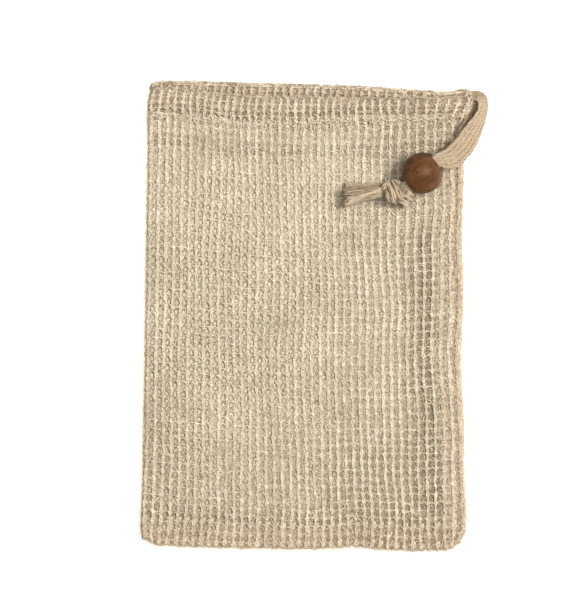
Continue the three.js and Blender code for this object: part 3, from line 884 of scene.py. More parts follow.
@dataclass(frozen=True)
class StitchSizes:
    """Loops of the seam thread below the tape, with the spans that their sizes are drawn from."""

    counts: tuple[tuple[Side, int], ...] = ((Side.FRONT, 210), (Side.BACK, 90))
    steps: int = 13
    middle: Span = (0.006, 0.982)
    ends: Span = (0.003, 0.988)
    reach: Span = (0.0006, 0.0015)
    lean: float = 0.75
    bend: float = 1.6
    below: float = 0.0010
    slope: float = 0.0012
    bends: Span = (0.3, 0.7)
    scatter: float = 0.00045
    lift: Span = (0.0001, 0.0005)
    least_lift: float = 0.00012
    radius: Span = (0.00015, 0.00025)
    tone: Span = (-0.4, 1.3)
    dulling: float = 0.9


LOOSE = LooseStrips()
STITCH = StitchSizes()
# Edge, way inward and tone of the thin ribs that close a ply at the fold and the side seam
# The tones are painted shade along both edges, deepest at the side seam.
EDGE_RIBS = ((0.0, 1, -0.6), (1.0, -1, -2.2))
EDGE_RIB_INSET = 0.0005
EDGE_RIB_SHARE = 0.55
# Levels of both plies of an allowance between the back at 0 and the front at 1
ALLOWANCE_LEVELS = (0.33, 0.66)
# Start of the random draws for the ground of each ply
GROUND_SEEDS = {Side.FRONT: 71, Side.BACK: 83}


class Pouch:
    """The folded, seamed and hemmed cloth as nets of yarn."""

    def __init__(self, cloth: LyingCloth) -> None:
        """Keeps the cloth.

        Args:
            cloth: Where its threads lie.
        """
        self.cloth = cloth
        self.sizes = cloth.sizes

    def outer_net(self, name: str, side: Side, rows: tuple[float, float], net: Net
                  ) -> bpy.types.Object:
        """One outer ply, or a stretch of it.

        Args:
            name: Name of the piece.
            side: Front or back.
            rows: First and last row of the stretch, counted on over the rim.
            net: The net to lay it with.

        Returns:
            The piece.
        """
        size = self.sizes
        low, high = rows[0], min(rows[1], net.raw_row)
        u = net.u_of(np.arange(size.ribs) + net.shift[0])[:, None]
        row = np.linspace(low, high, round((high - low) * net.sizes.rib_steps) + 1)
        path, turned = net.place(side, u, row[None])
        loose = self.looseness(u, np.minimum(net.v_of(row)[None], 1)) * (turned < 0.1)
        wide = openness(path[..., 0], path[..., 1])
        in_hem = eased(net.v_of(row)[None] * size.height, *HEM_STARTS)
        share = 0.93 - 0.03 * wide - 0.06 * loose + 0.06 * in_hem - 0.60 * np.sin(turned)
        # Painted shade where the cloth turns over the rim, the soft patches of painted light and
        # shade, and darker cells under the tape's end and the bead (painted shade) and in the lower
        # right; in the hem the front is lighter and the back darker.
        tone = (0.5 if side is Side.FRONT else -1.2) * in_hem - 1.8 * np.sin(turned)
        tone = tone + 0.8 * patch_light_and_shade(path[..., 0], path[..., 1])
        tone = tone - 0.5 * cell_shade_and_darkening(path[..., 0], np.maximum(path[..., 1], 0))
        net.ribs(path, row, share, tone, 0.06 * wide)
        short = row[row <= net.rim_row]
        # Thin edge ribs, painted in shade.
        for edge, inward, tone in EDGE_RIBS:
            path, _ = net.place(side, np.array([[edge]]), short[None])
            inset = np.array([inward * EDGE_RIB_INSET, 0, -net.sizes.rib_rise])
            net.ribs(path + inset, short, EDGE_RIB_SHARE, tone)
        self.outer_bars(net, side, low, high)
        return net.mesh.build(name)

    def outer_bars(self, net: Net, side: Side, low: float, high: float) -> None:
        """The bars of a stretch of an outer ply."""
        size, steps = self.sizes, net.sizes.bar_steps
        column = np.linspace(-0.47, size.ribs - 0.53, size.ribs * steps + 1)
        u = net.u_of(column)[None]
        rows = np.arange(math.ceil(net.raw_row)) + 0.5 + net.shift[1]
        rows = rows[(rows >= low) & (rows < high)][:, None]
        path, _ = net.place(side, u, np.minimum(rows + net.arch(column)[None], net.raw_row))
        net.bars(path, column, -0.1 * eased(net.v_of(rows) * size.height, *HEM_STARTS))
        if low <= 0:
            edge, _ = net.place(side, u, np.zeros_like(u))
            net.bars(edge, column, -1.0)

    def rim_yarns(self, mesh: YarnMesh, net: Net, side: Side) -> None:
        """Adds the felted yarns that lie along the rim and make its smooth edge, painted in light
        and shade.

        Args:
            mesh: The mesh that they go into.
            net: The net whose rim it is.
            side: Front or back.
        """
        u = np.linspace(0.001, 0.999, 200)[None]
        along = np.linspace(0, 90, u.shape[1])
        for share, radius, tone in RIM_YARNS:
            path, turned = net.place(side, u, np.full_like(u, net.rim_row + share * ROWS_ROUND))
            path[..., 1] += 0.00012 * np.sin(turned) + uneven(net.uneven_rng, 1, along, 0.00007)
            path[..., 2] += uneven(net.uneven_rng, 1, along, 0.00006)
            swell = uneven(net.uneven_rng, 1, along * 0.8, 0.00003)
            speck = uneven(net.uneven_rng, 1, along, 0.9)
            section = round_section(np.full(u.shape, radius) + swell, 6)
            mesh.sweep(path, ALONG, section, tone + speck)

    def looseness(self, u: Array, v: Array) -> Array:
        """How loose and hollow the cloth lies: 1 inside the seams and under the tape.

        Args:
            u: Share of the width from the fold.
            v: Share of the height from the bottom.

        Returns:
            Looseness between 0 and 1.
        """
        size = self.sizes
        from_seam, from_rim = (1 - u) * size.width, (1 - v) * size.height
        height = v * size.height
        inward = from_seam + LOOSE.widening * (1 - eased(height, *LOOSE.widens))
        beside = strip(inward, LOOSE.beside, LOOSE.beside_falls)
        beside = beside * (1 - eased(height, *LOOSE.beside_ends))
        beside = beside * eased(height, *LOOSE.beside_starts)
        above = strip(height, LOOSE.above, LOOSE.above_falls)
        above = above * eased(from_seam, *LOOSE.above_starts)
        tape = LOOSE.tape - LOOSE.tape_slope * eased(u, *LOOSE.tape_bends)
        under = strip(from_rim, (tape, tape + 0.0008), [(1, tape + 0.0022, tape + 0.0031)])
        tube = 1 - eased(from_rim, tape, tape + 0.0020)
        below = strip(from_rim, LOOSE.below, LOOSE.below_falls)
        strips = (beside, 0.8 * above, 1.3 * under, 0.3 * below, 0.3 * tube)
        return reduce(np.maximum, strips) * np.ones(np.broadcast_shapes(u.shape, v.shape))

    def ground(self, name: str, side: Side, net: Net) -> bpy.types.Object:
        """The fine ground of a ply, which fills the cells between its thick yarns.

        Args:
            name: Name of the piece.
            side: Front or back.
            net: The net whose cells it fills.

        Returns:
            The piece.
        """
        size = self.sizes
        steps = 4 if side is Side.FRONT else 2
        column = np.linspace(0, size.ribs, size.ribs * steps + 1)[None]
        row = np.linspace(0.2, net.raw_row, round(net.raw_row * steps) + 1)[:, None]
        u, v = column / size.ribs, net.v_of(row)
        place, angle = net.place(side, u, row)
        bulge = (1 + np.cos(TURN * (column - net.shift[0]))) * (
            1 + np.cos(TURN * (row - net.shift[1]))) / 4
        loose = self.looseness(u, v) * (angle < 0.1)
        hollow = loose * eased(size.height - v * size.height, 0.0085, 0.0100)
        wander = Drift(GROUND_SEEDS[side], 0.004, 0.00005).at(place[..., 0], place[..., 1])
        depth = size.ground_depth + size.ground_drop * hollow - size.ground_bulge * bulge
        depth = (depth + wander) * self.cloth.edge_fullness(u, v) * (1 - 0.7 * np.sin(angle))
        place[..., 1] -= depth * np.sin(angle)
        turn = 1 if side is Side.FRONT else -1
        place[..., 2] -= depth * np.cos(angle) * turn
        column, row = np.broadcast_arrays(column, row)
        maps = np.stack([column - net.shift[0], row - net.shift[1]], axis=-1)
        # Painted shade on the ground: along the bottom seam, in the last column at the side seam,
        # where the cloth lies loose and hollow, and where it turns over the rim.
        bottom = 1 - eased(v * size.height, 0.0055, 0.0072)
        bottom = bottom * (0.3 + 0.7 * eased(u, 0.35, 0.75))
        edge = eased(column, size.ribs - 1, size.ribs)
        tone = -1.4 * loose - 1.2 * np.sin(angle) - 1.6 * edge - 0.7 * bottom
        x, y = place[..., 0], place[..., 1]
        # Soft patches of painted light and shade, and darker cells under the tape's end and the
        # bead (painted shade) and in the lower right; denser cloth is a little lighter.
        tone = tone + patch_light_and_shade(x, y) - 0.8 * cell_shade_and_darkening(x, y) + 0.2 * (1 - openness(x, y))
        ground = YarnMesh()
        ground.grid(place[:, ::turn], maps[:, ::turn], tone[:, ::turn])
        self.rim_yarns(ground, net, side)
        return ground.build(name)

    def hem_stitches(self, name: str, seed: int) -> bpy.types.Object:
        """The seam thread below the tape, with the loops that it pulls up.

        Args:
            name: Name of the piece.
            seed: Start of the random draws.

        Returns:
            The piece.
        """
        size = self.sizes
        rng = np.random.default_rng(seed)
        mesh = YarnMesh()
        share = np.linspace(0, 1, STITCH.steps)[None]
        for side, count in STITCH.counts:
            middle = rng.uniform(*STITCH.middle, (count, 1))
            reach = rng.uniform(*STITCH.reach, (count, 1))
            heading = rng.normal(0, STITCH.lean, (count, 1))
            bend = rng.normal(0, STITCH.bend, (count, 1))
            angle = heading + bend * (share - 0.5)
            along = reach * np.cos(angle) * (share - 0.5) * 2
            aside = reach * np.sin(angle) * (share - 0.5) * 2
            u = np.clip(middle + along / size.width, *STITCH.ends)
            line = size.hem_stitch + STITCH.below - STITCH.slope * eased(u, *STITCH.bends)
            from_rim = line + rng.normal(0, STITCH.scatter, (count, 1)) + aside
            place = self.cloth.outer(side, u, 1 - from_rim / size.height)
            lift = rng.uniform(*STITCH.lift, (count, 1)) * np.sin(math.pi * share)
            lift = lift + STITCH.least_lift
            place[..., 2] += lift if side is Side.FRONT else -0.3 * lift
            radius = rng.uniform(*STITCH.radius, (count, 1)) * np.ones_like(share)
            tone = rng.uniform(*STITCH.tone, count)
            tone = tone - STITCH.dulling * eased(middle[:, 0], *STITCH.bends)
            mesh.sweep(place, np.array([0.3, 0.2, 1.0]), round_section(radius, 5), tone)
        return mesh.build(name)

    def fuzz(self, name: str, seed: int, count: int) -> bpy.types.Object:
        """Loose fibres that stand off the front and past the edges.

        Args:
            name: Name of the piece.
            seed: Start of the random draws.
            count: Fibres over the front; an eighth as many stand past each long edge.

        Returns:
            The piece.
        """
        rng = np.random.default_rng(seed)
        mesh = YarnMesh()
        u, v = rng.uniform(0.005, 0.995, count), rng.uniform(0.004, 0.994, count)
        root = self.cloth.outer(Side.FRONT, u, v)
        root[:, 2] += rng.uniform(-0.0001, 0.00045, count)
        FACE_FIBRES.scatter(mesh, rng, root, rng.uniform(0, TURN, count))
        count = max(count // 8, 1)
        along = rng.uniform(0.01, 0.99, (4, count))
        low, high, rim = (np.full(count, edge) for edge in (0.003, 0.997, 0.9965))
        edges = [(Side.FRONT, low, along[0], math.pi), (Side.FRONT, high, along[1], 0),
                 (Side.FRONT, along[2], low, -math.pi / 2), (Side.BACK, along[3], rim, math.pi / 2)]
        for side, u, v, out in edges:
            root = self.cloth.outer(side, u, v)
            if side is Side.BACK:
                root[:, 2] += 0.0008
            EDGE_FIBRES.scatter(mesh, rng, root, out + rng.normal(0, 0.7, count))
        return mesh.build(name)

    def allowances(self, name: str, seed: int) -> bpy.types.Object:
        """The seam allowances at the side and the bottom.

        Args:
            name: Name of the piece.
            seed: Start of the random draws.

        Returns:
            The piece.
        """
        net = Net(self.cloth, PLAIN_NET, seed, (0.42, 0.3))
        last = self.sizes.ribs - 0.6
        self.allowance(net, (last - 1.8, last), (1.0, net.row_of(
            1 - self.sizes.hem_turned / self.sizes.height)))
        self.allowance(net, (-0.3, last - 0.1), (0.2, 3.0))
        return net.mesh.build(name)

    def allowance(self, net: Net, columns: Span, rows: Span) -> None:
        """Lays both plies of a seam allowance between the front and the back.

        Args:
            net: The net that it is cut from.
            columns: First and last rib.
            rows: First and last row of cells.
        """
        ribs = np.arange(math.ceil(columns[0]), math.floor(columns[1]) + 1)
        u = net.u_of(ribs + 0.0)[:, None]
        steps = net.sizes.rib_steps
        row = np.linspace(*rows, max(3, round((rows[1] - rows[0]) * steps)) + 1)
        column = np.linspace(*columns, max(3, round((columns[1] - columns[0]) * steps)) + 1)
        bar_rows = np.arange(math.floor(rows[0]), math.floor(rows[1])) + 0.8
        bar_rows = bar_rows[(bar_rows >= rows[0]) & (bar_rows <= rows[1])][:, None]
        for level in ALLOWANCE_LEVELS:
            moved = 0.45 * level
            net.ribs(self.between(u + moved / self.sizes.ribs, net.v_of(row)[None], level), row)
            v = net.v_of(bar_rows + net.arch(column)[None] - moved)
            net.bars(self.between(net.u_of(column)[None], v, level), column)

    def between(self, u: Array, v: Array, level: float) -> Array:
        """Places between the back ply at 0 and the front ply at 1."""
        u = np.clip(u, 0.004, 0.994)
        place = self.cloth.outer(Side.FRONT, u, v)
        back = self.cloth.outer(Side.BACK, u, v)
        place[..., 2] = back[..., 2] + (place[..., 2] - back[..., 2]) * level
        return place


# The drawstring tape


class Weave(Enum):
    """How the surface of a tape is figured."""

    HERRINGBONE = "herringbone"
    STRANDS = "strands"


@dataclass(frozen=True)
class TapeSizes:
    """Sizes of the flat woven tape and of its figure."""

    columns: int = 5
    strand: float = 0.0014
    slant: float = 1.7
    relief: float = 0.00015
    points: int = 7
    step: float = 0.00018


@dataclass(frozen=True)
class ChannelTape:
    """Sizes of the tape inside the hem, and how finely it is drawn."""

    width: float = 0.0054
    thickness: float = 0.0008
    inset: float = 0.0004
    places: int = 14
    step: float = 0.0008


IN_CHANNEL = ChannelTape()
# X, Y, Z, width, thickness and roll in degrees along each free end, close to the CAD source
BACK_END = [
    (0.0476, 0.0634, 0.00165, 0.0036, 0.0008, 0), (0.0490, 0.0641, 0.0024, 0.0042, 0.0008, -20),
    (0.0504, 0.0636, 0.0038, 0.0050, 0.0008, -42), (0.0511, 0.0616, 0.0050, 0.0056, 0.0007, -58),
    (0.0508, 0.0592, 0.0058, 0.0060, 0.0007, -58), (0.0497, 0.0566, 0.0067, 0.0060, 0.0007, -46),
    (0.0478, 0.0534, 0.0079, 0.0062, 0.0007, -26), (0.0453, 0.0495, 0.0092, 0.0064, 0.0007, -10),
    (0.0416, 0.0460, 0.0102, 0.0064, 0.0008, 0),
]
# Painted light and shade along the back end's first rows: darker where it leaves the hem, lighter
# where it faces the light at the corner.
BACK_END_LIGHT_AND_SHADE = (-0.6, -0.4, -0.1, 0.1, 0.2, 0.1, 0.0)
FRONT_END = [
    (0.0474, 0.0622, 0.0044, 0.0036, 0.0009, 0), (0.0485, 0.0612, 0.0040, 0.0044, 0.0009, -6),
    (0.0489, 0.0594, 0.0038, 0.0050, 0.0008, -10), (0.0484, 0.0574, 0.0042, 0.0056, 0.0008, -16),
    (0.0475, 0.0553, 0.0050, 0.0058, 0.0007, -20), (0.0463, 0.0528, 0.0062, 0.0060, 0.0007, -18),
    (0.0447, 0.0492, 0.0078, 0.0062, 0.0007, -10), (0.0421, 0.0466, 0.0089, 0.0064, 0.0008, 0),
]
# Painted shade along the front end's first rows, which lie in the shaded crevice under the back
# end.
FRONT_END_SHADE = (0.0, -0.4, -0.6, -0.7, -0.6, -0.4, -0.2)
FRONT_TAIL = [
    (0.0245, 0.0366, 0.0070, 0.0034, 0.0012, 12), (0.0206, 0.0364, 0.0064, 0.0030, 0.0012, 12),
    (0.0156, 0.0353, 0.0056, 0.0034, 0.0010, 10), (0.0110, 0.0343, 0.0049, 0.0044, 0.0009, 8),
]
BACK_TAIL = [
    (0.0245, 0.0370, 0.0059, 0.0032, 0.0012, 0), (0.0204, 0.0375, 0.0050, 0.0024, 0.0012, 0),
    (0.0154, 0.0376, 0.0042, 0.0026, 0.0010, -4), (0.0110, 0.0376, 0.0039, 0.0030, 0.0008, -6),
]
# Places along the tail as shares, with the edges of its front ply in plan and its top there
TAIL_PLACES = (0.0, 0.45, 1.0)
TAIL_START, TAIL_LENGTH = 0.0222, 0.0120
TAIL_UPPER = (0.0380, 0.0370, 0.0366)
TAIL_LOWER = (0.0350, 0.0340, 0.0318)
TAIL_TOP = (0.0079, 0.0076, 0.0073)
BEAD_CENTRE = np.array([0.0332, 0.0416, 0.00965])
BEAD_AXIS = np.array([-0.78, -0.62, -0.1]) / np.linalg.norm([-0.78, -0.62, -0.1])
# Place along the bore as a share of the bead's radius, with the width and thickness there
IN_BORE = [
    (-1.02, 0.0040, 0.0011), (-0.92, 0.0037, 0.0013), (-0.82, 0.0040, 0.0015),
    (-0.66, 0.0032, 0.0015), (0.0, 0.0030, 0.0015), (0.60, 0.0030, 0.0015),
    (0.95, 0.0030, 0.0015),
]
BORE_APART = 0.0018


class TapeMesh:
    """Sweeps figured flat tapes into a mesh."""

    def __init__(self, sizes: TapeSizes) -> None:
        """Starts an empty mesh.

        Args:
            sizes: Sizes of the tape.
        """
        self.sizes = sizes
        self.mesh = YarnMesh()

    def relief(self, along: Array, across: Array, weave: Weave) -> Array:
        """Height of the figure at places on the tape.

        Args:
            along: Distance along the tape.
            across: Place across the width, from -1 to 1.
            weave: Figure that the surface shows.

        Returns:
            Height from -1 to 1.
        """
        column = (across + 1) / 2 * self.sizes.columns
        if weave is Weave.STRANDS:
            wander = 0.5 * np.sin(along * 900) + 0.3 * np.sin(along * 2300 + 1)
            return np.abs(np.cos(math.pi * (column + 0.12 * wander) * 1.5)) ** 0.8 * 1.6 - 0.9
        index = np.floor(np.clip(column, 0, self.sizes.columns - 1e-6))
        part = column - index
        slant = np.where(index % 2 == 0, part, 1 - part)
        wander = 0.22 * np.sin(along * 650 + index * 2.0) + 0.16 * np.sin(along * 1700 + index)
        wander = wander + 0.12 * np.sin(along * 4100 + index * 1.7 + 3 * part)
        phase = along / self.sizes.strand + self.sizes.slant * slant + 0.37 * index + wander
        ridge = np.abs(np.sin(math.pi * phase)) ** 0.8
        groove = np.abs(np.sin(math.pi * np.clip(part, 0.03, 0.97))) ** 0.5
        return ridge * groove * 2 - 1

    def lay(self, centre: Array, across: Array, width: Array, thick: Array, weave: Weave,
            tone: Array | float = 0.0) -> None:
        """Adds one tape.

        Args:
            centre: Points down the middle.
            across: Direction across the tape at each of them.
            width: Width at each of them.
            thick: Thickness at each of them.
            weave: Figure of the surface.
            tone: Lightness, of the whole tape or at each point.
        """
        run = np.gradient(centre, axis=0)
        run /= np.linalg.norm(run, axis=1, keepdims=True)
        across = across - (across * run).sum(1, keepdims=True) * run
        across /= np.linalg.norm(across, axis=1, keepdims=True)
        up = np.cross(run, across)
        steps = np.linalg.norm(np.diff(centre, axis=0), axis=1)
        along = np.concatenate([[0], np.cumsum(steps)])[:, None]
        count = self.sizes.columns * self.sizes.points + 1
        waver = 0.018 * np.sin(along[:, 0] * 1900) + 0.014 * np.sin(along[:, 0] * 4700 + 1)
        width = width * (1 + waver)
        sides = []
        for sign, columns in ((1, count), (-1, self.sizes.columns + 3)):
            edge = np.sin(np.linspace(-0.5, 0.5, columns) * math.pi)
            place = 0.3 * edge + 0.7 * np.linspace(-1, 1, columns)
            half = np.sqrt(np.maximum(1 - np.abs(place) ** 6, 0.02))[None]
            figure = self.relief(along, place[None], weave)
            height = sign * half * (thick[:, None] / 2 + figure * self.sizes.relief)
            offset = np.broadcast_to(place[None] * width[:, None] / 2, height.shape)
            sides.append((offset[:, ::sign], height[:, ::sign], figure[:, ::sign]))
        offset, height, figure = (np.concatenate(pair, axis=1) for pair in zip(*sides))
        points = (centre[:, None] + offset[..., None] * across[:, None]
                  + height[..., None] * up[:, None])
        maps = np.stack([offset * 1000, np.broadcast_to(along * 1000, offset.shape)], axis=-1)
        # The figure's ridges are painted lighter and its grooves darker: painted light and shade
        # over the relief.
        shade = np.reshape(tone, (-1, 1)) + 1.3 * figure[:, ::-1]
        index = self.mesh.grid(points[:, ::-1], maps[:, ::-1], shade, closed=[1])
        self.mesh.add_faces(np.stack([index[0, ::-1], index[-1]]))

    def follow(self, rows: Sequence[Sequence[float]], weave: Weave,
               tones: Sequence[float] = (0.0,)) -> Array:
        """Adds a tape along rows of place, width, thickness and roll.

        Args:
            rows: X, Y, Z, width, thickness and roll in degrees.
            weave: Figure of the surface.
            tones: Lightness at the rows; the last one holds on to the end.

        Returns:
            Points down the middle of the tape.
        """
        table = np.array(rows, float)
        line = SmoothLine(table[:, :3])
        share = np.linspace(0, 1, round(line.length / self.sizes.step) + 1)
        centre, place = line.at(share), line.place_at(share)
        index = np.arange(len(table))
        width, thick, roll = (np.interp(place, index, table[:, k]) for k in (3, 4, 5))
        run = np.gradient(centre, axis=0)
        run /= np.linalg.norm(run, axis=1, keepdims=True)
        side = np.cross(UP, run)
        side /= np.linalg.norm(side, axis=1, keepdims=True)
        roll = np.radians(roll)[:, None]
        across = side * np.cos(roll) + np.cross(run, side) * np.sin(roll)
        tone = np.interp(place, np.arange(len(tones)), tones)
        self.lay(centre, across, width, thick, weave, tone=tone)
        return centre


@dataclass(frozen=True)
class KnotTurn:
    """One turn of tape round the knot: where it lies and how wide its band is."""

    centre: tuple[float, float, float]
    heading: float
    reach: tuple[float, float]
    width: float
    strands: int
    strand: float
    arc: tuple[float, float]
    drift: float


# The knot's core, painted dark as the shade between its turns, as rows of place, width, thickness
# and roll in degrees
KNOT_CORE = [
    (0.0296, 0.0380, 0.0077, 0.0030, 0.0028, 0), (0.0283, 0.0371, 0.0073, 0.0046, 0.0044, 10),
    (0.0260, 0.0363, 0.0069, 0.0054, 0.0050, 20), (0.0238, 0.0360, 0.0067, 0.0046, 0.0040, 30),
    (0.0222, 0.0358, 0.0065, 0.0034, 0.0026, 30),
]
KNOT_TURNS = [
    KnotTurn((0.0252, 0.0364, 0.0068), 14, (0.0033, 0.0030), 0.0052, 11, 0.00040, (-40, 220),
             0.0009),
    KnotTurn((0.0283, 0.0346, 0.0062), 68, (0.0021, 0.0026), 0.0040, 8, 0.00036, (-50, 230),
             -0.0004),
    KnotTurn((0.0295, 0.0366, 0.0070), -20, (0.0022, 0.0026), 0.0026, 6, 0.00036, (-40, 220),
             0.0002),
]
# X, Y, size and heading in degrees of the small loops of yarn on the knot
KNOT_LOOPS = [(0.0222, 0.0377, 0.0009, 60), (0.0226, 0.0366, 0.0010, 100),
              (0.0231, 0.0352, 0.0010, 80)]
# The fibres that fan out past the cut of the tails; their darker tones are painted shade, as they
# lie in the tails' shadow
TAIL_FIBRES = FibreSizes((0.0010, 0.0042), 0.0005, (0.00006, 0.00012), (-1.2, 0.6),
                         (0.0, 0.0625, 0.25, 0.5625, 1.0), -0.15)


class Drawstring:
    """The tape: inside the hem, its two free ends, and the knot with its cut tails."""

    def __init__(self, cloth: LyingCloth, sizes: TapeSizes) -> None:
        """Keeps the cloth that it runs in.

        Args:
            cloth: Where the hem lies.
            sizes: Sizes of the tape.
        """
        self.cloth = cloth
        self.sizes = sizes
        self.routes: dict[str, Array] = {}

    def free_end(self, name: str, node: str, rows: Sequence[Sequence[float]], upper: float,
                 tail: Sequence[Sequence[float]], tones: Sequence[float]) -> bpy.types.Object:
        """One free end: round the corner, over the front, through bead and knot to its cut.

        Args:
            name: Name of the piece.
            node: The CAD node that it replaces.
            rows: Its route to the bead.
            upper: 1 where it is the upper one in the bore, -1 for the lower one.
            tail: Its route beyond the knot.
            tones: Its painted light and shade at the first rows.

        Returns:
            The piece.
        """
        above = UP - BEAD_AXIS * BEAD_AXIS[2]
        above *= upper * BORE_APART / 2 / np.linalg.norm(above)
        bore = [(*(BEAD_CENTRE + BEAD_AXIS * share * WoodBead.radius + above), width, thick, 0)
                for share, width, thick in IN_BORE]
        tape = TapeMesh(self.sizes)
        centre = tape.follow([*rows, *bore, *tail], Weave.HERRINGBONE, tones)
        self.routes[name] = centre[::12]
        return fit(tape.mesh.build(name), node)

    def in_channel(self, name: str) -> bpy.types.Object:
        """The stretch of tape inside the hem, from one end of the channel round to the other.

        Args:
            name: Name of the piece.

        Returns:
            The piece.
        """
        size = self.cloth.sizes
        v = np.array(1 - size.channel / size.height)
        half = size.hem_layer / 2
        high, low = HEM_PROFILE[0][1] - half, half
        count = IN_CHANNEL.places
        u = np.linspace(1 - IN_CHANNEL.inset / size.width, size.hem_layer / size.width, count)
        front = self.cloth.plan(Side.FRONT, u, v + 0 * u)
        back = self.cloth.plan(Side.BACK, u, v + 0 * u)[::-1]
        angle = np.radians([30, 60, 90, 120, 150])
        turn = front[-1] + (back[0] - front[-1]) * (angle / math.pi)[:, None]
        turn[:, 0] -= np.sin(angle) * (high - low) / 2
        levels = [np.full(count, high), (high + low) / 2 + np.cos(angle) * (high - low) / 2,
                  np.full(count, low)]
        plan = np.concatenate([front, turn, back])
        line = SmoothLine(np.column_stack([plan, np.concatenate(levels)]))
        tape = TapeMesh(TapeSizes(points=2))
        centre = line.at(np.linspace(0, 1, round(line.length / IN_CHANNEL.step)))
        rows = len(centre)
        across = np.broadcast_to(ALONG, centre.shape)
        tape.lay(centre, across, np.full(rows, IN_CHANNEL.width),
                 np.full(rows, IN_CHANNEL.thickness), Weave.HERRINGBONE)
        return fit(tape.mesh.build(name), "drawstring_in_channel")

    def knot(self, name: str, seed: int) -> bpy.types.Object:
        """The overhand knot of both ends, drawn tight against the bead.

        Args:
            name: Name of the piece.
            seed: Start of the random draws.

        Returns:
            The piece.
        """
        rng = np.random.default_rng(seed)
        tape = TapeMesh(TapeSizes(columns=8, relief=0.00011))
        # The core is painted dark, as the shade that shows between the turns.
        tape.follow(KNOT_CORE, Weave.STRANDS, (-3.0,))
        for turn in KNOT_TURNS:
            self.turn(tape.mesh, rng, turn)
        for x, y, size, heading in KNOT_LOOPS:
            self.loop(tape.mesh, (x, y, 0.0090), size, heading)
        return fit(tape.mesh.build(name), "knot")

    def turn(self, mesh: YarnMesh, rng: np.random.Generator, turn: KnotTurn) -> None:
        """Adds one turn of tape round the knot as a band of strands.

        Args:
            mesh: The mesh that it goes into.
            rng: Source of the random draws.
            turn: Its sizes.
        """
        angle = np.radians(np.linspace(*turn.arc, 70))
        heading = math.radians(turn.heading)
        axis = np.array([math.cos(heading), math.sin(heading), 0])
        side = np.array([-math.sin(heading), math.cos(heading), 0])
        for lane in np.linspace(-1, 1, turn.strands):
            bow = 1 - 0.16 * lane ** 2 + rng.normal(0, 0.02)
            wave = 0.00014 * np.sin(angle * rng.uniform(1.5, 3.5) + rng.uniform(0, TURN))
            along = lane * turn.width / 2 * (0.82 + 0.18 * np.sin(angle)) + wave
            along = along + turn.drift * (angle - math.pi / 2) / math.pi
            swell = bow + 0.05 * np.sin(angle * rng.uniform(2, 5) + rng.uniform(0, TURN))
            path = (np.array(turn.centre) + along[:, None] * axis
                    + (swell * turn.reach[0] * np.cos(angle))[:, None] * side)
            path[:, 2] += swell * turn.reach[1] * np.sin(angle)
            radius = turn.strand * rng.uniform(0.8, 1.2)
            section = twisted_section(np.full((1, 70), radius), angle[None] * 3.0, 7, 0.8)
            tone = rng.normal(1.0, 2.0, 1) + 1.1 * np.sin(angle[None] * rng.uniform(3, 8))
            mesh.sweep(path[None], axis, section, tone)

    def loop(self, mesh: YarnMesh, centre: Sequence[float], size: float, heading: float) -> None:
        """Adds a small bright loop of yarn."""
        angle = np.linspace(0, TURN, 22)
        lean = math.radians(heading)
        long_way = np.array([math.cos(lean), math.sin(lean), 0])
        short_way = np.array([-math.sin(lean), math.cos(lean), 0])
        path = (np.array(centre) + size * np.cos(angle)[:, None] * long_way
                + 0.5 * size * np.sin(angle)[:, None] * short_way)
        path[:, 2] += 0.0003 * np.sin(angle * 2)
        section = round_section(np.full((1, 22), 0.00022), 6)
        mesh.sweep(path[None], UP, section, np.array([0.9]))

    def frayed_tails(self, name: str, seed: int) -> bpy.types.Object:
        """The strands of both cut tails, which have come loose past the knot.

        Args:
            name: Name of the piece.
            seed: Start of the random draws.

        Returns:
            The piece.
        """
        rng = np.random.default_rng(seed)
        mesh = YarnMesh()
        share = np.linspace(0, 1, 26)
        x = TAIL_START - TAIL_LENGTH * share
        upper, lower, top = (np.interp(share, TAIL_PLACES, row)
                             for row in (TAIL_UPPER, TAIL_LOWER, TAIL_TOP))
        for lane in np.linspace(0.02, 0.98, 13):
            path = self.tail_strand(rng, x, upper, lower, top, lane + 0 * share)
            self.add_strand(mesh, rng, path, 0.00024, rng.normal(-0.1, 1.3))
        for step in range(3):
            lane = np.clip(0.06 + 0.10 * step + 0.80 * share ** 0.8, 0, 1.02)
            path = self.tail_strand(rng, x, upper, lower, top + 0.00060, lane)
            self.add_strand(mesh, rng, path, 0.00029, 3.0)
        for lane in np.linspace(0, 1, 8):
            y = 0.0383 - 0.0008 * share - (0.0004 + 0.0020 * share) * lane
            path = np.stack([x - 0.0004, y, 0.0056 - 0.0013 * share], axis=-1)
            path[:, 1] += 0.0001 * np.sin(share * rng.uniform(5, 12) + rng.uniform(0, TURN))
            self.add_strand(mesh, rng, path, 0.00028, rng.normal(-0.7, 0.3))
        self.loose_fibres(mesh, rng, 70)
        return fit(mesh.build(name))

    def tail_strand(self, rng: np.random.Generator, x: Array, upper: Array, lower: Array,
                    top: Array, lane: Array) -> Array:
        """Points along one strand of the front tail, at lane 0 up to 1 across it."""
        sway = 0.00012 * np.sin(x * rng.uniform(500, 1100) + rng.uniform(0, TURN))
        y = upper + (lower - upper) * lane + sway
        z = top - 0.0007 * (2 * lane - 1) ** 2 + 0.00012 * rng.standard_normal()
        return np.stack([x, y, z], axis=-1)

    def add_strand(self, mesh: YarnMesh, rng: np.random.Generator, path: Array, radius: float,
                   tone: float) -> None:
        """Adds one strand with a loose twist, cut at a length of its own."""
        cut = rng.integers(0, 4)
        path = path[: len(path) - cut]
        count = len(path)
        turn = np.linspace(0, rng.uniform(6, 10), count)[None]
        size = np.full((1, count), radius * rng.uniform(0.85, 1.15))
        size[:, -3:] *= [1.0, 0.8, 0.5]
        section = twisted_section(size, turn, 7, 0.72)
        mesh.sweep(path[None], UP, section, np.array([tone]))

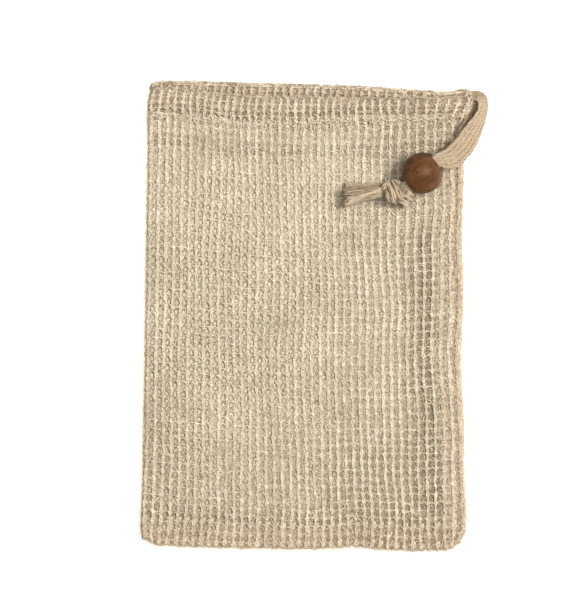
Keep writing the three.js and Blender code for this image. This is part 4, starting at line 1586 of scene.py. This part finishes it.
    def loose_fibres(self, mesh: YarnMesh, rng: np.random.Generator, count: int) -> None:
        """Adds fine fibres that fan out past the cut and stand off the tails and the knot."""
        lane = rng.uniform(0, 1, count)
        root = np.stack([0.0108 + rng.uniform(0, 0.0030, count), 0.0367 - 0.0046 * lane,
                         rng.uniform(0.0042, 0.0056, count)], axis=-1)
        turn = math.pi + rng.normal(0, 0.30, count) + 0.35 * (lane - 0.4)
        TAIL_FIBRES.scatter(mesh, rng, root, turn)


@dataclass(frozen=True)
class WoodBead:
    """The turned wooden bead that both tape ends run through."""

    radius: float = 0.006
    bore: float = 0.0026
    lip: float = 0.00035
    rings: int = 44
    lip_rings: int = 4
    bore_rings: int = 8
    sides: int = 96

    def build(self, name: str) -> bpy.types.Object:
        """Turns the bead: outside, rounded lips and bore.

        Args:
            name: Name of the piece.

        Returns:
            The piece.
        """
        start = math.asin((self.bore + self.lip) / self.radius)
        angle = np.linspace(start, math.pi - start, self.rings)
        outer = np.stack([np.sin(angle), np.cos(angle)], axis=1) * self.radius
        end = outer[-1, 1]
        bend = np.linspace(0.25, 0.95, self.lip_rings) * math.pi / 2
        lip = np.stack([self.bore + self.lip * (1 - np.sin(bend)),
                        end + self.lip * (1 - np.cos(bend))], axis=1)
        depth = np.linspace(lip[-1, 1], -lip[-1, 1], self.bore_rings)
        inside = np.column_stack([np.full_like(depth, self.bore), depth])
        profile = np.concatenate([outer, lip, inside[1:-1], lip[::-1] * [1, -1]])
        around = np.linspace(0, TURN, self.sides, endpoint=False)
        side = np.cross(BEAD_AXIS, UP)
        side /= np.linalg.norm(side)
        up = np.cross(BEAD_AXIS, side)
        spoke = np.cos(around)[:, None] * side + np.sin(around)[:, None] * up
        points = (BEAD_CENTRE + profile[None, :, :1] * spoke[:, None]
                  + profile[None, :, 1:] * BEAD_AXIS)
        mesh = YarnMesh()
        mesh.grid(points[:, ::-1], np.zeros((*points.shape[:2], 2)), 0.0, closed=[1, 0])
        return fit(mesh.build(name), "bead")


# Finishes


class Nodes:
    """The nodes of a material or a group, with short ways to add and join them."""

    def __init__(self, tree: bpy.types.NodeTree) -> None:
        """Keeps the tree that the nodes go into."""
        self.tree = tree

    def feed(self, socket: bpy.types.NodeSocket, value: object) -> None:
        """Links a socket to another one, or sets its number or colour."""
        if isinstance(value, bpy.types.NodeSocket):
            self.tree.links.new(value, socket)
        else:
            socket.default_value = value

    def add(self, kind: str, inputs: dict | None = None, **values: object) -> bpy.types.Node:
        """Adds a node.

        Args:
            kind: Its type.
            inputs: Sockets, numbers or colours for its inputs, by name or place.
            values: Its plain properties.

        Returns:
            The node.
        """
        node = self.tree.nodes.new(kind)
        for name, value in values.items():
            setattr(node, name, value)
        for name, value in (inputs or {}).items():
            self.feed(node.inputs[name], value)
        return node

    def math(self, operation: str, *values: object) -> bpy.types.NodeSocket:
        """Adds a Math node whose inputs are numbers or sockets, and gives its output."""
        node = self.add("ShaderNodeMath", dict(enumerate(values)), operation=operation)
        return node.outputs[0]

    def ramp(self, value: bpy.types.NodeSocket, start: float, end: float,
             kind: str = "SMOOTHSTEP", most: float = 1.0) -> bpy.types.NodeSocket:
        """Gives 0 where the value is at start, and most where it is at end."""
        inputs = {"Value": value, "From Min": start, "From Max": end, "To Max": most}
        node = self.add("ShaderNodeMapRange", inputs, interpolation_type=kind)
        return node.outputs["Result"]

    def noise(self, place: bpy.types.NodeSocket, scale: object, detail: float,
              warp: float = 0.0) -> bpy.types.Node:
        """Adds a Noise Texture node, whose scale may be a socket."""
        return self.add("ShaderNodeTexNoise", {"Vector": place, "Scale": scale, "Detail": detail,
                                               "Distortion": warp})

    def split(self, vector: bpy.types.NodeSocket) -> bpy.types.bpy_prop_collection:
        """Gives the X, Y and Z of a vector."""
        return self.add("ShaderNodeSeparateXYZ", {0: vector}).outputs

    def place(self) -> bpy.types.NodeSocket:
        """Gives the place on the part in metres."""
        return self.add("ShaderNodeTexCoord").outputs["Object"]

    def yarn_map(self) -> bpy.types.bpy_prop_collection:
        """Gives the pattern coordinates of the yarns as X and Y."""
        return self.split(self.add("ShaderNodeUVMap", uv_map="yarn").outputs[0])


class Group(Nodes):
    """A shared group of nodes with float inputs and outputs."""

    def __init__(self, name: str, inputs: dict[str, float], outputs: Sequence[str]) -> None:
        """Makes the group with its sockets.

        Args:
            name: Its name.
            inputs: Its inputs with their usual values.
            outputs: Names of its outputs.
        """
        super().__init__(bpy.data.node_groups.new(name, "ShaderNodeTree"))
        sockets = self.tree.interface
        for socket, value in inputs.items():
            made = sockets.new_socket(name=socket, in_out="INPUT", socket_type="NodeSocketFloat")
            made.default_value = value
        for socket in outputs:
            sockets.new_socket(name=socket, in_out="OUTPUT", socket_type="NodeSocketFloat")
        self.start = self.add("NodeGroupInput").outputs
        self.end = self.add("NodeGroupOutput").inputs


class Shader(Nodes):
    """A material with a Principled BSDF on its output."""

    def __init__(self, name: str) -> None:
        """Makes the material.

        Args:
            name: Name of the material.
        """
        self.material = bpy.data.materials.new(name)
        self.material.use_nodes = True
        super().__init__(self.material.node_tree)
        self.tree.nodes.clear()
        self.surface = self.add("ShaderNodeBsdfPrincipled")
        self.add("ShaderNodeOutputMaterial", {"Surface": self.surface.outputs[0]})

    def group(self, tree: bpy.types.NodeTree, **values: float) -> bpy.types.bpy_prop_collection:
        """Adds a shared group with inputs set by name, and gives its outputs."""
        return self.add("ShaderNodeGroup", values, node_tree=tree).outputs

    def mix(self, share: bpy.types.NodeSocket, start: object, end: Colour,
            blend: str = "MIX") -> bpy.types.NodeSocket:
        """Mixes a colour, or a socket with one, with another colour."""
        if not isinstance(start, bpy.types.NodeSocket):
            start = (*start, 1)
        node = self.add("ShaderNodeMix", None, data_type="RGBA", blend_type=blend)
        for name, value in (("Factor", share), ("A", start), ("B", (*end, 1))):
            self.feed(node.inputs[name], value)
        return node.outputs["Result"]

    def dress(self, looks: dict[str, object]) -> bpy.types.Material:
        """Sets or links the surface's inputs by name, and gives the material."""
        for name, value in looks.items():
            self.feed(self.surface.inputs[name], value)
        return self.material

    def bump(self, height: bpy.types.NodeSocket, relief: float) -> bpy.types.NodeSocket:
        """Gives the normal of a surface with a relief in metres."""
        inputs = {"Strength": 1.0, "Distance": relief, "Height": height}
        return self.add("ShaderNodeBump", inputs).outputs["Normal"]


# Scale, detail and warp of the noises that make the fuzz and the hairs of a yarn
FIBRE_NOISES = ((1500.0, 3.0, 0.4), (950.0, 2.0, 0.8))
# Axis, start, end and strength of each band where the cloth lies double
DOUBLED_BANDS = (("Y", 0.0540, 0.0600, 0.6), ("Y", -0.0590, -0.0635, 1.0),
                 ("X", 0.0370, 0.0425, 0.8))


def fibre_group() -> bpy.types.NodeTree:
    """Fibres that wind round a yarn, with fuzz and fine hairs: a height, and a shade that follows
    it as painted light on the raised fibres and painted shade in the grooves.
    """
    usual = {"Lines": 2.0, "Slant": 1.1, "Twist": 0.4, "Fuzz": 0.5, "Hairs": 0.3}
    group = Group("yarn_fibres", usual, ["Height", "Shade"])
    math_of, given, yarn, place = group.math, group.start, group.yarn_map(), group.place()
    turn = math_of("ADD", math_of("MULTIPLY", yarn["X"], given["Lines"]),
                   math_of("MULTIPLY", yarn["Y"], given["Slant"]))
    wave = math_of("SINE", math_of("MULTIPLY", turn, TURN))
    wave = math_of("MULTIPLY", wave, given["Twist"])
    parts = []
    for look in FIBRE_NOISES:
        centred = math_of("SUBTRACT", group.noise(place, *look).outputs["Fac"], 0.5)
        parts.append(math_of("MULTIPLY", centred, 2.5))
    fuzz = math_of("MULTIPLY", parts[0], given["Fuzz"])
    ridge = math_of("MULTIPLY", math_of("ABSOLUTE", parts[1]), -6.0)
    ridge = math_of("MAXIMUM", math_of("ADD", ridge, 1.0), 0.0)
    hairs = math_of("MULTIPLY", ridge, given["Hairs"])
    height = math_of("ADD", math_of("ADD", wave, fuzz), hairs)
    group.feed(group.end["Height"], height)
    group.feed(group.end["Shade"], math_of("MULTIPLY_ADD", height, 0.5, 0.5))
    return group.tree


def drift_group() -> bpy.types.NodeTree:
    """Slow random changes of shade over the cloth, with each yarn's tone, which holds its own
    lightness and the light and shade painted on it.
    """
    group = Group("shade_drift", {"Size": 60.0, "Yarns": 0.3}, ["Shade", "Blush"])
    place = group.place()
    calm, blush = (
        group.noise(place, group.math("MULTIPLY", group.start["Size"], share), 3.0).outputs["Fac"]
        for share in (1.0, 2.3))
    tone = group.add("ShaderNodeAttribute", attribute_name="tone").outputs["Fac"]
    own = group.math("MULTIPLY", tone, group.start["Yarns"])
    calm = group.math("MULTIPLY_ADD", calm, 0.35, 0.33)
    group.feed(group.end["Shade"], group.math("ADD", calm, own))
    group.feed(group.end["Blush"], blush)
    return group.tree


def band_group() -> bpy.types.NodeTree:
    """1 where the cloth lies double, in the hem and the seam allowances, and 0 elsewhere."""
    group = Group("doubled_bands", {}, ["Band"])
    spot = group.split(group.place())
    first, *others = (group.ramp(spot[axis], start, stop, "LINEAR", most)
                      for axis, start, stop, most in DOUBLED_BANDS)
    for other in others:
        first = group.math("MAXIMUM", first, other)
    group.feed(group.end["Band"], first)
    return group.tree


def ring_group() -> bpy.types.NodeTree:
    """Painted shade in the net's cells: dark rings next to the ribs in the dense cloth, dark filled
    ovals where it is open.
    """
    group = Group("cell_ring_shade", {"Warp": 0.22}, ["Ring"])
    math_of, cells, place = group.math, group.yarn_map(), group.place()
    strays = group.split(group.noise(place, 620.0, 2.0).outputs["Color"])
    parts = []
    for axis, weight in (("X", 0.95), ("Y", 0.55)):
        stray = math_of("MULTIPLY", math_of("SUBTRACT", strays[axis], 0.5), group.start["Warp"])
        moved = math_of("ADD", cells[axis], math_of("MULTIPLY", stray, 2.0))
        wave = math_of("COSINE", math_of("MULTIPLY", moved, TURN))
        parts.append(math_of("MULTIPLY", math_of("SUBTRACT", 1.0, wave), weight))
    out = math_of("ADD", *parts)
    off = math_of("DIVIDE", math_of("SUBTRACT", out, 0.90), 0.50)
    ring = math_of("SUBTRACT", 1.0, math_of("MULTIPLY", off, off))
    ring = math_of("MAXIMUM", ring, 0.0)
    spot = group.split(place)
    right, bottom, top, spread = (
        group.ramp(spot[axis], sign * reach[0], sign * reach[1])
        for axis, sign, reach in (("X", 1, OPEN_RIGHT), ("Y", -1, OPEN_BOTTOM),
                                  ("Y", 1, OPEN_TOP), ("X", 1, BOTTOM_SPREAD)))
    spread = math_of("MULTIPLY_ADD", spread, 1 - BOTTOM_LEAST, BOTTOM_LEAST)
    wide = math_of("MAXIMUM", right, math_of("MULTIPLY", bottom, spread))
    wide = math_of("MAXIMUM", wide, top)
    filled = math_of("MULTIPLY", group.ramp(out, 1.25, 0.55), wide)
    rest = math_of("MULTIPLY", ring, math_of("SUBTRACT", 1.0, wide))
    filled = math_of("MULTIPLY_ADD", filled, 0.75, rest)
    group.feed(group.end["Ring"], math_of("MULTIPLY_ADD", ring, 0.15, filled))
    return group.tree


@dataclass(frozen=True)
class CottonFinish:
    """Undyed cotton: its light and dark shades, a pinkish blush, and its fibres."""

    name: str
    light: Colour
    dark: Colour
    blush: Colour = (0.96, 0.91, 0.905)
    lines: float = 2.0
    slant: float = 1.05
    twist: float = 0.40
    fuzz: float = 1.1
    hairs: float = 0.5
    yarns: float = 0.2
    relief: float = 0.00016
    # Strength of the painted shade in the net's cells.
    rings: float = 0.0

    def build(self, fibres: bpy.types.NodeTree, drift: bpy.types.NodeTree,
              cells: bpy.types.NodeTree, bands: bpy.types.NodeTree) -> bpy.types.Material:
        """Makes the material.

        Args:
            fibres: The group of winding fibres.
            drift: The group of slow changes of shade.
            cells: The group of the net's cells.
            bands: The group of the doubled bands.

        Returns:
            The material.
        """
        shader = Shader(self.name)
        fibre = shader.group(fibres, Lines=self.lines, Slant=self.slant, Twist=self.twist,
                             Fuzz=self.fuzz, Hairs=self.hairs)
        slow = shader.group(drift, Yarns=self.yarns)
        shade = shader.math("SUBTRACT", slow["Shade"], 0.45)
        shade = shader.math("MULTIPLY_ADD", fibre["Shade"], 0.9, shade)
        if self.rings:
            shade = shader.math("MULTIPLY_ADD", shader.group(cells)["Ring"], -self.rings, shade)
        warm = shader.ramp(slow["Blush"], 0.5, 0.72)
        warm = shader.math("MULTIPLY_ADD", warm, 0.35, shader.group(bands)["Band"])
        colour = shader.mix(shade, self.dark, self.light)
        return shader.dress({
            "Base Color": shader.mix(warm, colour, self.blush, "MULTIPLY"),
            "Normal": shader.bump(fibre["Height"], self.relief),
            "Roughness": 0.92, "Specular IOR Level": 0.12,
            "Sheen Weight": 0.2, "Sheen Roughness": 0.6,
        })


@dataclass(frozen=True)
class WoodFinish:
    """Oiled brown wood with a fine grain, dark pores, one small crack and a soft gloss."""

    name: str = "oiled_brown_wood"
    light: Colour = (0.158, 0.062, 0.018)
    dark: Colour = (0.054, 0.020, 0.006)
    pore: Colour = (0.012, 0.006, 0.003)
    lie: tuple[float, float, float] = (0.1, 0.15, -0.67)
    grain: tuple[float, float, float] = (90, 420, 420)
    pores: tuple[float, float, float] = (500, 2600, 2600)
    relief: float = 0.00018
    crack: tuple[float, float, float] = (0.0296, 0.0449, 0.0130)
    crack_reach: float = 0.0016

    def build(self) -> bpy.types.Material:
        """Makes the material."""
        shader = Shader(self.name)
        place = shader.place()
        turned = shader.add("ShaderNodeMapping", {"Vector": place, "Rotation": self.lie})
        noises = []
        for scale, detail, warp in ((self.grain, 5.0, 0.6), (self.pores, 1.0, 0.0)):
            inputs = {"Vector": turned.outputs["Vector"], "Scale": scale}
            drawn = shader.add("ShaderNodeMapping", inputs).outputs["Vector"]
            noises.append(shader.noise(drawn, 1.0, detail, warp).outputs["Fac"])
        grain, pores = noises
        dots = shader.ramp(pores, 0.66, 0.74, "LINEAR")
        away = shader.add("ShaderNodeVectorMath", {0: place, 1: self.crack},
                          operation="DISTANCE").outputs["Value"]
        near = shader.ramp(away, self.crack_reach, self.crack_reach * 0.3)
        crack = shader.math("MULTIPLY", near, shader.math("GREATER_THAN", pores, 0.44))
        wood = shader.mix(shader.ramp(grain, 0.3, 0.7, "LINEAR"), self.dark, self.light)
        return shader.dress({
            "Base Color": shader.mix(shader.math("MAXIMUM", dots, crack), wood, self.pore),
            "Normal": shader.bump(shader.math("MULTIPLY_ADD", dots, -1.0, grain), self.relief),
            "Roughness": 0.44, "Specular IOR Level": 0.16,
            "Coat Weight": 0.02, "Coat Roughness": 0.26,
        })


NET_FINISH = CottonFinish("net_cotton", (0.97, 0.865, 0.655), (0.56, 0.457, 0.307), yarns=0.26)
# The ground's dark colour and its rings hold the painted shade in the cells.
GROUND_FINISH = CottonFinish("ground_cotton_painted_shade", (1.0, 0.89, 0.67), (0.34, 0.262, 0.168),
                             (0.95, 0.87, 0.85), lines=0.0, slant=0.0, twist=0.0, fuzz=1.3,
                             hairs=0.9, yarns=0.35, relief=0.00022, rings=0.58)
TAPE_FINISH = CottonFinish("tape_cotton", (0.60, 0.475, 0.32), (0.19, 0.132, 0.08),
                           (1.0, 0.97, 0.95), lines=1.0, slant=0.0, twist=0.0, fuzz=0.9,
                           hairs=0.4, yarns=0.32, relief=0.00012)


# The camera, the floor and the light


@dataclass(frozen=True)
class Studio:
    """A camera straight above, a white floor and soft light from the upper right."""

    field: float = 0.1758
    middle: tuple[float, float, float] = (-0.00483, 0.00469, 0.0025)
    lens: float = 200.0
    sensor: float = 36.0
    floor_half: float = 2.0
    floor_height: float = -0.0004

    def camera(self) -> None:
        """Makes the camera at the photograph's framing."""
        data = bpy.data.cameras.new("camera")
        data.lens = self.lens
        data.sensor_width = self.sensor
        data.clip_start = 0.05
        camera = bpy.data.objects.new("camera", data)
        far = self.field * self.lens / self.sensor
        camera.location = (self.middle[0], self.middle[1], self.middle[2] + far)
        bpy.context.scene.collection.objects.link(camera)
        bpy.context.scene.camera = camera

    def floor(self) -> None:
        """Makes the plain white floor."""
        half = self.floor_half
        mesh = bpy.data.meshes.new("floor")
        corners = [(-half, -half, 0), (half, -half, 0), (half, half, 0), (-half, half, 0)]
        mesh.from_pydata(corners, [], [(0, 1, 2, 3)])
        floor = bpy.data.objects.new("floor", mesh)
        floor.location.z = self.floor_height
        bpy.context.scene.collection.objects.link(floor)
        mesh.materials.append(Shader("white_floor").dress({
            "Base Color": (0.9, 0.9, 0.9, 1), "Roughness": 0.9,
            "Emission Color": (1, 1, 1, 1), "Emission Strength": 0.60,
        }))

    def light(self, name: str, place: tuple[float, float, float], size: float,
              power: float, colour: Colour) -> None:
        """Makes one soft square light that faces the pouch."""
        data = bpy.data.lights.new(name, "AREA")
        data.shape = "SQUARE"
        data.size = size
        data.energy = power
        data.color = colour
        lamp = bpy.data.objects.new(name, data)
        lamp.location = place
        lamp.rotation_euler = Vector(place).to_track_quat("Z", "Y").to_euler()
        bpy.context.scene.collection.objects.link(lamp)

    def build(self) -> None:
        """Makes the camera, the floor, the lights and the sky."""
        self.camera()
        self.floor()
        self.light("side_light", (0.42, 0.14, 0.78), 0.26, 7.5, (1.0, 0.985, 0.96))
        self.light("top_light", (0.0, 0.0, 1.3), 0.6, 4.8, (1.0, 0.995, 0.985))
        world = bpy.data.worlds.new("studio")
        world.use_nodes = True
        sky = world.node_tree.nodes["Background"].inputs
        sky["Color"].default_value = (1, 0.985, 0.96, 1)
        sky["Strength"].default_value = 0.31
        bpy.context.scene.world = world
        bpy.context.scene.view_settings.view_transform = "Standard"


# Putting it together

# Each stretch of the front: name, first and last row, and height as a flat sheet
STRETCHES = (("front_lower", (0, 21), 0.051), ("front_middle", (21, 42), 0.051),
             ("front_upper", (42, 80), 0.046))
# Height of a whole ply as a flat sheet, with what is turned into the hem
PLY_HEIGHT = 0.148


def fit(piece: bpy.types.Object, node: str | None = None) -> bpy.types.Object:
    """Tells the frame a piece's body and the node that it replaces, and gives it."""
    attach(piece, BODY)
    if node:
        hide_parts(node)
    return piece


def dress(pieces: Sequence[bpy.types.Object], material: bpy.types.Material) -> None:
    """Gives pieces their only material."""
    for piece in pieces:
        piece.data.materials.clear()
        piece.data.materials.append(material)


def lay_cloth(cloth: LyingCloth) -> tuple[list[bpy.types.Object], list[bpy.types.Object]]:
    """Builds the pieces of the cloth, attaches them to the frame's body and hides the CAD pouch.

    Args:
        cloth: Where its threads lie.

    Returns:
        The pieces of yarn, and the grounds.
    """
    pouch = Pouch(cloth)
    back_net = Net(cloth, PLAIN_NET, 5, (0.38, 0.45))
    nets = [(pouch.outer_net(name, Side.FRONT, rows, Net(cloth, FINE_NET, 3)), height)
            for name, rows, height in STRETCHES]
    nets.append((pouch.outer_net("back_ply", Side.BACK, (0, 80), back_net), PLY_HEIGHT))
    riders = [
        pouch.allowances("seam_allowances", 6),
        pouch.hem_stitches("hem_stitches", 7),
        pouch.fuzz("loose_fibres", 8, 14000),
    ]
    grounds = [
        pouch.ground("front_ground", Side.FRONT, Net(cloth, FINE_NET, 3)),
        pouch.ground("back_ground", Side.BACK, back_net),
    ]
    yarns = [net for net, _ in nets] + riders
    for piece in yarns + grounds:
        fit(piece, "pouch")
    return yarns, grounds


def main() -> None:
    """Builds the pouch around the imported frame."""
    logging.basicConfig(level=logging.INFO, format="%(message)s")
    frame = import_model()
    log.info("frame with %d nodes", len(frame["nodes"]))
    Studio().build()
    cloth = LyingCloth(ClothSizes())
    drawstring = Drawstring(cloth, TapeSizes())
    back_end = drawstring.free_end("loose_tape_from_back", "tape_end_back", BACK_END, 1,
                                   BACK_TAIL, BACK_END_LIGHT_AND_SHADE)
    front_end = drawstring.free_end("loose_tape_from_front", "tape_end_front", FRONT_END, -1,
                                    FRONT_TAIL, FRONT_END_SHADE)
    channel = drawstring.in_channel("tape_in_hem")
    knot = drawstring.knot("knot_turns", 21)
    tails = drawstring.frayed_tails("frayed_tails", 22)
    bead = WoodBead().build("wooden_bead")
    yarns, grounds = lay_cloth(cloth)
    groups = fibre_group(), drift_group(), ring_group(), band_group()
    dress(yarns, NET_FINISH.build(*groups))
    dress(grounds, GROUND_FINISH.build(*groups))
    dress([back_end, front_end, channel, knot, tails], TAPE_FINISH.build(*groups))
    dress([bead], WoodFinish().build())


if __name__ == "__main__":
    main()
